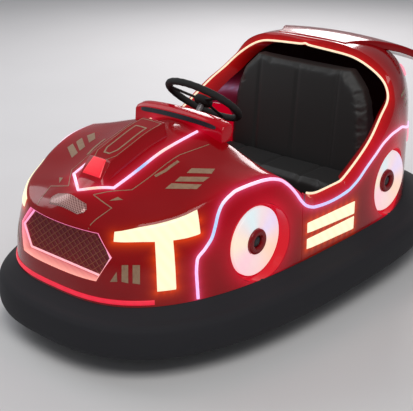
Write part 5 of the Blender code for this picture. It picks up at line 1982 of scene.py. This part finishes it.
@dataclass
class BonnetTrim:
    """The raised block, the badge plate, the printed films and the gills."""

    form: BodyForm
    panels: Dict[str, bpy.types.Object]
    film_rise: float = 0.0006
    print_rise: float = 0.0007

    def block(self) -> bpy.types.Object:
        """The raised block on the bonnet: closed sections across it that climb out of the bonnet.

        Returns:
            The piece.
        """
        a, rows, columns = self.form.along, 80, 25
        start, end = a(-0.812), a(-0.478)
        y = np.linspace(start, end, rows)[:, None]
        across = np.linspace(-1, 1, columns)[None, :]
        plan = np.stack(np.broadcast_arrays(across * 0.0625, y, OVERHEAD), axis=-1)
        under = settle(plan, self.panels["front"], downwards=True) - UP * 0.002
        rise = 0.042 * np.clip(0.10 + (y - start) / 0.055, 0, 1) ** 0.9
        middle = under[:, columns // 2, 2][:, None] + rise
        top = np.stack(np.broadcast_arrays(across * 0.050, y, middle - 0.0015 * across**2), axis=-1)
        grid = np.concatenate([under, top[:, ::-1]], axis=1)
        made = object_of("bonnet_scoop", Shape.grid("bonnet_scoop", grid, wrap_columns=True,
                                                    capped=True))
        ease(made, 0.005, 40.0, 4)
        return applied(made)

    def badge(self) -> bpy.types.Object:
        """A blank shield plate above the grille with a domed face.

        Returns:
            The piece.
        """
        d = np.linspace(-0.085, 0.085, 41)[None, :]
        s = np.linspace(0.80, 0.24, 41)[:, None]
        wide = 1 - 0.30 * np.clip(np.abs(np.linspace(-1, 1, 41)[:, None]) - 0.35, 0, 1)
        plan = self.form.bonnet(np.abs(d), s)
        plan[..., 0] = 0.083 * np.linspace(-1, 1, 41)[None, :] * wide
        under = settle(plan, self.panels["front"], downwards=True)
        grid = Shape.slab(under, np.array((0.0, -0.5, 0.85)), 0.0050, 0.14)
        return object_of("nose_shield", Shape.grid("nose_shield", grid))

    def film(self, name: str, patches: Sequence[Sequence[Tuple[float, float]]]) -> bpy.types.Object:
        """Thin printed shapes on the bonnet, each a four-sided patch given by plan corners.

        Args:
            name: the piece's name.
            patches: the corners of each shape.

        Returns:
            The piece.
        """
        grids = []
        for corners in patches:
            four = (list(corners) + [corners[-1]])[:4]
            places = np.array([(x, y, OVERHEAD) for x, y in four])
            grid = settle(bilinear(places, 14, 14), self.panels["front"], downwards=True)
            grids.append(grid + UP * self.print_rise)
        return object_of(name, Shape.join(name, grids))

    def stripe(self, name: str, paths: Sequence[Sequence[Tuple[float, float]]],
               widths: Sequence[Tuple[float, float]]) -> bpy.types.Object:
        """Printed stripes along plan paths; each stripe's width runs evenly between its two ends.

        Args:
            name: the piece's name.
            paths: the places along each stripe.
            widths: each stripe's widths at its two ends.

        Returns:
            The piece.
        """
        grids = []
        for path, (first, last) in zip(paths, widths):
            line = fill_path(np.array([(x, y, OVERHEAD) for x, y in path]), 0.008)
            half = np.linspace(first, last, len(line))[:, None, None] / 2
            cross = unit(np.cross(unit(np.gradient(line, axis=0)), UP))[:, None]
            grid = line[:, None] + cross * half * np.linspace(-1, 1, 5)[None, :, None]
            grids.append(settle(grid, self.panels["front"], downwards=True) + UP * self.print_rise)
        return object_of(name, Shape.join(name, grids))

    def wall_film(self, name: str, patches: Sequence[Sequence[Tuple[float, float, float]]],
                  panel: str) -> bpy.types.Object:
        """Printed shapes on a wall, each a patch between three or four corners.

        Args:
            name: the piece's name.
            patches: the corners of each shape.
            panel: the panel that they lie on.

        Returns:
            The piece.
        """
        grids = []
        for corners in patches:
            under = settle(bilinear(np.array(list(corners) + [corners[-1]])[:4], 14, 14),
                           self.panels[panel])
            away = unit((under - (0.0, np.sign(under[0, 0, 1]) * 0.45, 0.0)) * (1.0, 1.0, 0.0))
            grids.append(under + away * self.film_rise)
        return object_of(name, Shape.join(name, grids))

    def near_side(self) -> Dict[str, list]:
        """The printed shapes of the bonnet's left half, as plan places.

        Returns:
            The shapes of each kind.
        """
        return {"lines": [[(0.127, -0.860), (0.147, -0.777), (0.060, -0.774), (0.144, -0.685),
                           (0.151, -0.608), (0.158, -0.474), (0.186, -0.360)]],
                "bars": [[(0.162, -0.597), (0.172, -0.560), (0.176, -0.500)]],
                "patches": [[(0.132, -0.735), (0.120, -0.762), (0.154, -0.733)],
                            [(0.231, -0.497), (0.289, -0.448), (0.299, -0.476), (0.234, -0.524)],
                            [(0.228, -0.549), (0.307, -0.493), (0.305, -0.523), (0.229, -0.574)],
                            [(0.225, -0.586), (0.310, -0.535), (0.311, -0.560), (0.224, -0.615)]]}

    def prints(self) -> List[bpy.types.Object]:
        """All printed shapes, mirrored to the right half.

        Returns:
            The pieces.
        """
        both = (1.0, -1.0)
        near = self.near_side()
        turn = {key: [[(x * side, y) for x, y in shape] for side in both for shape in shapes]
                for key, shapes in near.items()}
        ribbons = self.stripe("film_ribbons", turn["lines"] + turn["bars"],
                              [(0.0030, 0.0030)] * 2 + [(0.0105, 0.0105)] * 2)
        shapes = self.film("film_bars", turn["patches"])
        corner = [[(0.222, -0.864, 0.319), (0.238, -0.849, 0.353), (0.243, -0.853, 0.322)],
                  [(0.249, -0.837, 0.375), (0.266, -0.826, 0.377), (0.272, -0.834, 0.319),
                   (0.254, -0.845, 0.323)],
                  [(0.276, -0.817, 0.377), (0.293, -0.802, 0.377), (0.299, -0.810, 0.316),
                   (0.282, -0.825, 0.319)]]
        low = self.wall_film("film_corner", [[(x * side, y, z) for x, y, z in shape]
                                             for side in both for shape in corner], "front")
        gills = [[(0.40, 0.500, z), (0.39, 0.588, z + 0.018), (0.39, 0.588, z + 0.030),
                  (0.40, 0.500, z + 0.012)] for z in (0.598, 0.626, 0.654)]
        rear = self.wall_film("film_gills", [[(x * side, y, z) for x, y, z in shape]
                                             for side in both for shape in gills], "tail")
        return [ribbons, shapes, low, rear]

    def loops(self, block: bpy.types.Object) -> bpy.types.Object:
        """The two printed loops on the raised block, the inner one bolder.

        Args:
            block: the raised block.

        Returns:
            The piece.
        """
        grids = []
        for corners, width in (
                ([(0.024, -0.690), (0.044, -0.655), (0.0455, -0.445), (-0.0455, -0.445),
                  (-0.044, -0.655), (-0.024, -0.690)], 0.0026),
                ([(0.012, -0.655), (0.024, -0.630), (0.024, -0.495), (-0.024, -0.495),
                  (-0.024, -0.630), (-0.012, -0.655)], 0.0062)):
            loop = np.array([(x, y, 0.7) for x, y in corners])
            line = fill_path(np.concatenate([loop, loop[:1]]), 0.006)
            ahead = unit(np.gradient(line, axis=0))
            ahead[0] = ahead[-1] = unit(ahead[0] + ahead[-1])
            cross = np.cross(ahead, UP)[:, None] * (width / 2)
            grid = line[:, None] + cross * np.linspace(-1, 1, 5)[None, :, None]
            grids.append(settle(grid, block, downwards=True) + UP * self.film_rise)
        return object_of("film_loops", Shape.join("film_loops", grids))

    def face(self, block: bpy.types.Object) -> bpy.types.Object:
        """The lit red panel on the block's sloping front.

        Args:
            block: the raised block.

        Returns:
            The piece.
        """
        corners = np.array([(0.044, -0.728, 0.7), (0.030, -0.684, 0.7), (-0.030, -0.684, 0.7),
                            (-0.044, -0.728, 0.7)])
        grid = settle(bilinear(corners, 24, 24), block, downwards=True)
        made = object_of("scoop_face", Shape.grid("scoop_face", Shape.slab(
            grid, np.array((0.0, -0.7, 0.7)), 0.0025, 0.15)))
        paint(made.data, np.array((0.92, 0.004, 0.022)))
        return made

    def build(self) -> bpy.types.Object:
        """Make the trim; the block itself is finished later, when the lights are in place.

        Returns:
            The piece.
        """
        block = self.block()
        fit(self.loops(block), [Finish.FILM])
        fit(self.face(block), [Finish.RED_LIGHT])
        for piece in self.prints():
            fit(piece, [Finish.FILM])
        fit(self.badge(), [Finish.BADGE], "nose_plate")
        return block


@dataclass
class Cockpit:
    """The pod, the steering wheel and the padded bench."""

    form: BodyForm
    panels: Dict[str, bpy.types.Object]
    pod_half: float = 0.208
    wheel_radius: float = 0.150
    wheel_tube: float = 0.013
    centre: Tuple[float, float, float] = (0.0, -0.180294, 0.715)
    axis: Tuple[float, float, float] = (0.0, 0.624415, 0.781093)

    def pod(self) -> bpy.types.Object:
        """The instrument pod across the back of the bonnet: closed rounded sections across it.

        Returns:
            The piece.
        """
        dash, half = self.form.along(DASH), self.pod_half
        share = np.linspace(-1, 1, 61)
        x = share * half
        ahead = dash - np.linspace(0.022, 0.002, 8)[None, :]
        plan = np.stack(np.broadcast_arrays(x[:, None], ahead, 0.65), axis=-1)
        under = settle(plan, self.panels["front"], downwards=True) - UP * 0.003
        crown = under[30, 3, 2] + 0.041 - 0.010 * share**2 - 0.012 * np.abs(share) ** 9
        foot = under[:, -1, 2]
        back = np.stack([x, np.full(61, dash + 0.036), foot + 0.002], axis=1)
        rear = np.stack([x, np.full(61, dash + 0.034), crown - 0.006], axis=1)
        top = np.stack([x, np.full(61, dash + 0.014), crown], axis=1)
        face = np.stack([x, np.full(61, dash - 0.008), crown - 0.004], axis=1)
        brow = np.stack([x, np.full(61, dash - 0.018), crown - 0.014], axis=1)
        grid = np.concatenate([under, back[:, None], rear[:, None], top[:, None], face[:, None],
                               brow[:, None]], axis=1)
        made = object_of("dash_hood", Shape.grid("dash_hood", grid, wrap_columns=True, capped=True))
        ease(made, 0.006, 28.0, 4)
        return applied(made)

    def visor(self, pod: bpy.types.Object) -> bpy.types.Object:
        """The long dark display in the pod's front face, a thin glossy sheet with rounded ends.

        Args:
            pod: the instrument pod.

        Returns:
            The piece.
        """
        points = points_of(pod.data)
        low = points[np.abs(points[:, 0]) < 0.02][:, 2].min()
        share = np.linspace(-1, 1, 60)[:, None]
        v = np.linspace(-1, 1, 12)[None, :] * (1 - np.abs(share) ** 16) ** 0.5
        height = low + 0.0225 + v * 0.0110 - 0.010 * share**2
        plan = np.stack(np.broadcast_arrays(share * 0.182, self.form.along(DASH) - 0.05, height),
                        axis=-1)
        face = settle(plan, pod)
        return object_of("dash_window", Shape.grid("dash_window", Shape.slab(
            face, np.array((0.0, -1.0, 0.15)), 0.0022, 0.2)))

    def wheel(self) -> bpy.types.Object:
        """The steering wheel: a round rim, three tapering spokes and a domed hub.

        Returns:
            The piece.
        """
        r, tube = self.wheel_radius - self.wheel_tube, self.wheel_tube
        turn = np.linspace(0, 2 * pi, 24, endpoint=False)
        swell = 1 + 0.05 * np.cos(28 * np.linspace(0, 2 * pi, 168, endpoint=False))
        rim = np.stack([r + tube * np.cos(turn), tube * np.sin(turn)], axis=1)
        grid = turned(rim, (0, 0, 0), (0, 0, 1), 168)
        ring = np.stack([np.cos(np.linspace(0, 2 * pi, 168, endpoint=False)),
                         np.sin(np.linspace(0, 2 * pi, 168, endpoint=False)), np.zeros(168)], 1) * r
        grid = ring[:, None] + (grid - ring[:, None]) * (0.97 + (swell - 1) * 0.5)[:, None, None]
        hub = turned([(0, -0.017), (0.028, -0.017), (0.033, -0.012), (0.0355, -0.004),
                      (0.034, 0.004), (0.030, 0.0095), (0.020, 0.0112), (0.018, 0.0095),
                      (0.0165, 0.0110), (0.0, 0.0118)], (0, 0, 0), (0, 0, 1), 72)
        spokes = []
        share = np.linspace(0, 1, 24)[:, None]
        loop = np.linspace(0, 2 * pi, 16, endpoint=False)[None, :]
        for angle in (90, 210, 330):
            c, s = cos(radians(angle)), sin(radians(angle))
            out = 0.014 + (r - 0.014) * share
            wide = 0.0115 - 0.0035 * np.sin(share * pi)
            across, up = wide * np.cos(loop), -0.002 + 0.0045 * np.sin(loop)
            spokes.append(np.stack(np.broadcast_arrays(out * c - across * s, out * s + across * c,
                                                       up), axis=-1))
        whole = Shape.join("wheel", spokes, wrap_columns=True, capped=True)
        joined = bmesh.new()
        for mesh in (whole, Shape.grid("rim", grid, wrap_rows=True, wrap_columns=True),
                     Shape.grid("hub", hub, wrap_rows=True, wrap_columns=True)):
            joined.from_mesh(mesh)
        place = (Matrix.Translation(self.centre)
                 @ Vector((0, 0, 1)).rotation_difference(Vector(self.axis)).to_matrix().to_4x4())
        bmesh.ops.transform(joined, matrix=place, verts=joined.verts)
        mesh = bpy.data.meshes.new("hand_wheel")
        joined.to_mesh(mesh)
        joined.free()
        return object_of("hand_wheel", mesh)

    def pad(self, node: str, cap: float, shrink: float) -> bpy.types.Object:
        """A padded piece swollen by cloth pressure from its CAD node's shape.

        Args:
            node: the CAD node.
            cap: the furthest that a point may move.
            shrink: how far the start shape is drawn in.

        Returns:
            The padded piece.
        """
        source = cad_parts[node]
        bm = bmesh.new()
        bm.from_mesh(source.data)
        bmesh.ops.remove_doubles(bm, verts=bm.verts, dist=1e-5)
        bmesh.ops.recalc_face_normals(bm, faces=bm.faces)
        low, high = (np.array(v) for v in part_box(node))
        middle = (low + high) / 2
        scale = 1 - 2 * shrink / (high - low)
        for vert in bm.verts:
            vert.co = Vector(middle + (np.array(vert.co) - middle) * scale)
        mesh = bpy.data.meshes.new(node + "_pad")
        bm.to_mesh(mesh)
        bm.free()
        made = object_of(node.replace("seat_", "bench_"), mesh)
        remesh = made.modifiers.new("even", "REMESH")
        remesh.mode, remesh.voxel_size, remesh.use_smooth_shade = "VOXEL", 0.007, True
        applied(made)
        start = points_of(made.data)
        cloth = made.modifiers.new("swell", "CLOTH")
        setup = cloth.settings
        setup.quality, setup.use_pressure, setup.uniform_pressure_force = 5, True, 4.0
        setup.effector_weights.gravity = 0.0
        setup.tension_stiffness = setup.compression_stiffness = 12.0
        scene = bpy.context.scene
        for now in range(1, 19):
            scene.frame_set(now)
        applied(made)
        scene.frame_set(1)
        swollen = points_of(made.data)
        move = swollen - start
        size = np.linalg.norm(move, axis=1, keepdims=True)
        points = start + move * np.minimum(1, cap / np.maximum(size, 1e-9))
        points = np.clip(points, low + 0.0005, high - 0.0005)
        made.data.vertices.foreach_set("co", self.sewn(node, points, low, high).ravel())
        made.data.update()
        fine = made.modifiers.new("fine", "SUBSURF")
        fine.levels = fine.render_levels = 1
        return applied(made)

    def sewn(self, node: str, points: Array, low: Array, high: Array) -> Array:
        """Sewn channels: points near a seam line sink with exp(-(distance / width)^2).

        Args:
            node: the CAD node.
            points: rows of coordinates.
            low: the CAD box's low corner.
            high: the CAD box's high corner.

        Returns:
            The points.
        """
        result = points.copy()
        seat = node == "seat_cushion"
        face = (points[:, 2] > high[2] - 0.03) if seat else (points[:, 1] < low[1] + 0.10)
        seams = np.array((-0.19, 0.0, 0.19))
        gap = np.abs(points[:, :1] - seams[None]).min(axis=1)
        sink = 0.006 * np.exp(-((gap / 0.007) ** 2)) * face
        result[:, 2 if seat else 1] -= sink if seat else -sink
        return result

    def build(self) -> bpy.types.Object:
        """Make the cockpit; the pod itself is finished later, when the lights are in place.

        Returns:
            The piece.
        """
        pod = self.pod()
        fit(self.visor(pod), [Finish.SLOT])
        fit(self.wheel(), [Finish.GRIP], "steering_wheel", body="steering")
        for node, cap in (("seat_cushion", 0.016), ("seat_back", 0.014)):
            fit(self.pad(node, cap, 0.010), [Finish.SEAT], node)
        return pod


@dataclass
class Ring:
    """The rubber ring round the car, with a moulded groove and a rolled lower lip."""

    form: BodyForm
    half_length: float
    half_width: float
    power: float = 2.73

    def build(self) -> bpy.types.Object:
        """A profile of (share out, height) carried round between the body's outline and the ring's.

        Returns:
            The piece.
        """
        keys = np.array([(0.0, 0.107), (0.0, 0.155), (0.07, 0.181), (0.26, 0.196), (0.52, 0.205),
                         (0.80, 0.2227), (0.97, 0.2367), (1.10, 0.2367), (1.15, 0.2247),
                         (1.15, 0.095), (1.02, 0.079), (0.50, 0.075), (0.12, 0.083)])
        span = 0.085
        loop = rounded_loop(keys * (span, 1.0), 7, 0.32) / (span, 1.0)
        angles = np.linspace(0, 2 * pi, 1440, endpoint=False)
        outer = oval(angles, self.half_width, self.half_length, self.power)
        run = run_of(np.vstack([outer, outer[:1]]))
        places = np.linspace(0, run[-1], 400, endpoint=False)
        angle = np.interp(places, run, np.append(angles, 2 * pi))
        outer = oval(angle, self.half_width, self.half_length, self.power)
        body = oval(angle, self.form.half_width, self.form.half_length, self.form.power)
        body[:, 0] *= self.form.taper(body[:, 1])
        plan = outer[:, None] * (1 - loop[None, :, :1]) + body[:, None] * loop[None, :, :1]
        grid = np.concatenate([plan, np.broadcast_to(loop[None, :, 1:], plan.shape[:2] + (1,))], -1)
        return object_of("rubber_ring", Shape.grid("rubber_ring", grid, wrap_rows=True,
                                                   wrap_columns=True))


class Studio:
    """The floor, the soft lights and the camera."""

    def floor(self) -> None:
        """A wide pale floor, longer behind the car than ahead of it."""
        x, y = np.linspace(-30, 30, 30)[:, None], np.linspace(-20, 40, 40)[None, :]
        grid = np.stack(np.broadcast_arrays(x, y, 0.0), axis=-1)
        made = object_of("studio_floor", Shape.grid("studio_floor", grid))
        made.data.materials.append(Floor().make())
        if made.data.polygons[0].normal.z < 0:
            made.data.flip_normals()
        made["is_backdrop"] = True

    def lamp(self, name: str, place: Tuple[float, float, float], size: float, watts: float,
             colour: Colour = (1.0, 1.0, 1.0)) -> None:
        """A square soft light that faces the car.

        Args:
            name: the lamp's name.
            place: where it stands.
            size: the length of its side.
            watts: its power.
            colour: its colour.
        """
        data = bpy.data.lights.new(name, "AREA")
        data.energy, data.color, data.shape, data.size = watts, colour, "SQUARE", size
        made = bpy.data.objects.new(name, data)
        made.location = place
        away = Vector((0, 0, 0.4)) - Vector(place)
        made.rotation_euler = away.to_track_quat("-Z", "Y").to_euler()
        bpy.context.scene.collection.objects.link(made)

    def camera(self) -> None:
        """The camera ahead of the car's left front corner, looking down over the bonnet."""
        data = bpy.data.cameras.new("camera")
        data.sensor_width, data.lens = 36.0, 87.2
        made = bpy.data.objects.new("camera", data)
        made.location = (2.305, -2.750, 1.699)
        made.rotation_euler = Vector((-0.6174, 0.6923, -0.3735)).to_track_quat("-Z", "Y").to_euler()
        bpy.context.scene.collection.objects.link(made)
        bpy.context.scene.camera = made

    def build(self) -> None:
        """Everything round the car."""
        scene = bpy.context.scene
        scene.view_settings.view_transform = "Standard"
        world = bpy.data.worlds.new("studio")
        scene.world = world
        world.use_nodes = True
        shade = world.node_tree.nodes["Background"]
        shade.inputs["Color"].default_value = (0.80, 0.81, 0.84, 1.0)
        shade.inputs["Strength"].default_value = 0.33
        self.floor()
        self.lamp("key", (2.2, -2.2, 4.2), 2.6, 110.0, (1.0, 0.98, 0.95))
        self.lamp("fill", (-3.4, -1.0, 3.0), 2.6, 45.0, (0.95, 0.97, 1.0))
        self.lamp("back", (-2.7, 3.9, 2.9), 2.2, 120.0, (1.0, 0.96, 0.96))
        self.camera()


def dress_frame() -> None:
    """Give each CAD node a finish, though most are replaced by finer pieces later."""
    wheels = ("drive_wheel", "rear_wheel_left", "rear_wheel_right")
    plan = {Finish.STEEL: ["steering_shaft", "column_sleeve", "rear_axle", "accelerator_pedal"]
            + [wheel + "_hub" for wheel in wheels],
            Finish.PAINTED: ["drive_fork", "chassis_rails", "base_plate", "bumper_channel"],
            Finish.TYRE: [wheel + "_tyre" for wheel in wheels]}
    finish_of = {name: finish for finish, names in plan.items() for name in names}
    for name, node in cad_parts.items():
        node.data.materials.clear()
        node.data.materials.append(finish_of.get(name, Finish.PLASTIC).material())


def main() -> None:
    """Build the car class by class and report each piece."""
    logging.basicConfig(level=logging.INFO, format="%(message)s")
    low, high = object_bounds()
    half_x, half_y = (high.x - low.x) / 2, (high.y - low.y) / 2
    form = BodyForm(half_y - RING_AT_ENDS, half_x - RING_AT_SIDES)
    Studio().build()
    dress_frame()
    shells = Shells(form)
    panels = {"front": shells.front(), "sill_left": shells.sill(1), "sill_right": shells.sill(-1),
              "tail": shells.tail(), "deck": shells.deck()}
    lights = BodyLights(form, panels)
    lights.build()
    discs = WheelLights(form)
    for side in SIDES:
        discs.build("front", form.along(FRONT_LIGHT), side)
        discs.build("rear", form.along(REAR_LIGHT), side)
    Grille(form).build()
    block = BonnetTrim(form, panels).build()
    pod = Cockpit(form, panels).build()
    fit(Ring(form, half_y, half_x).build(), [Finish.RING], "bumper_ring")
    shells.glow_sources = lights.halos() + [(discs.circles(), (0.42, 0.0, 0.016), 0.030)] + [
        (points_of(piece.data)[::11], AMBER_HALO, 0.013) for piece in lights.warm]
    nodes = {"front": "front_shell", "sill_left": "sill_left", "sill_right": "sill_right",
             "tail": "tail_shell", "deck": "roof_deck"}
    for name, piece in panels.items():
        shells.halo(piece.data)
        fit(piece, [Finish.RED, Finish.LINER] if name != "deck" else [Finish.RED], nodes[name])
    for piece, node in ((block, "bonnet_block"), (pod, "dash_pod")):
        shells.halo(piece.data, POD_GLOW if piece is pod else 0.0)
        fit(piece, [Finish.RED], node)
    low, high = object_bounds()


if __name__ == "__main__":
    main()
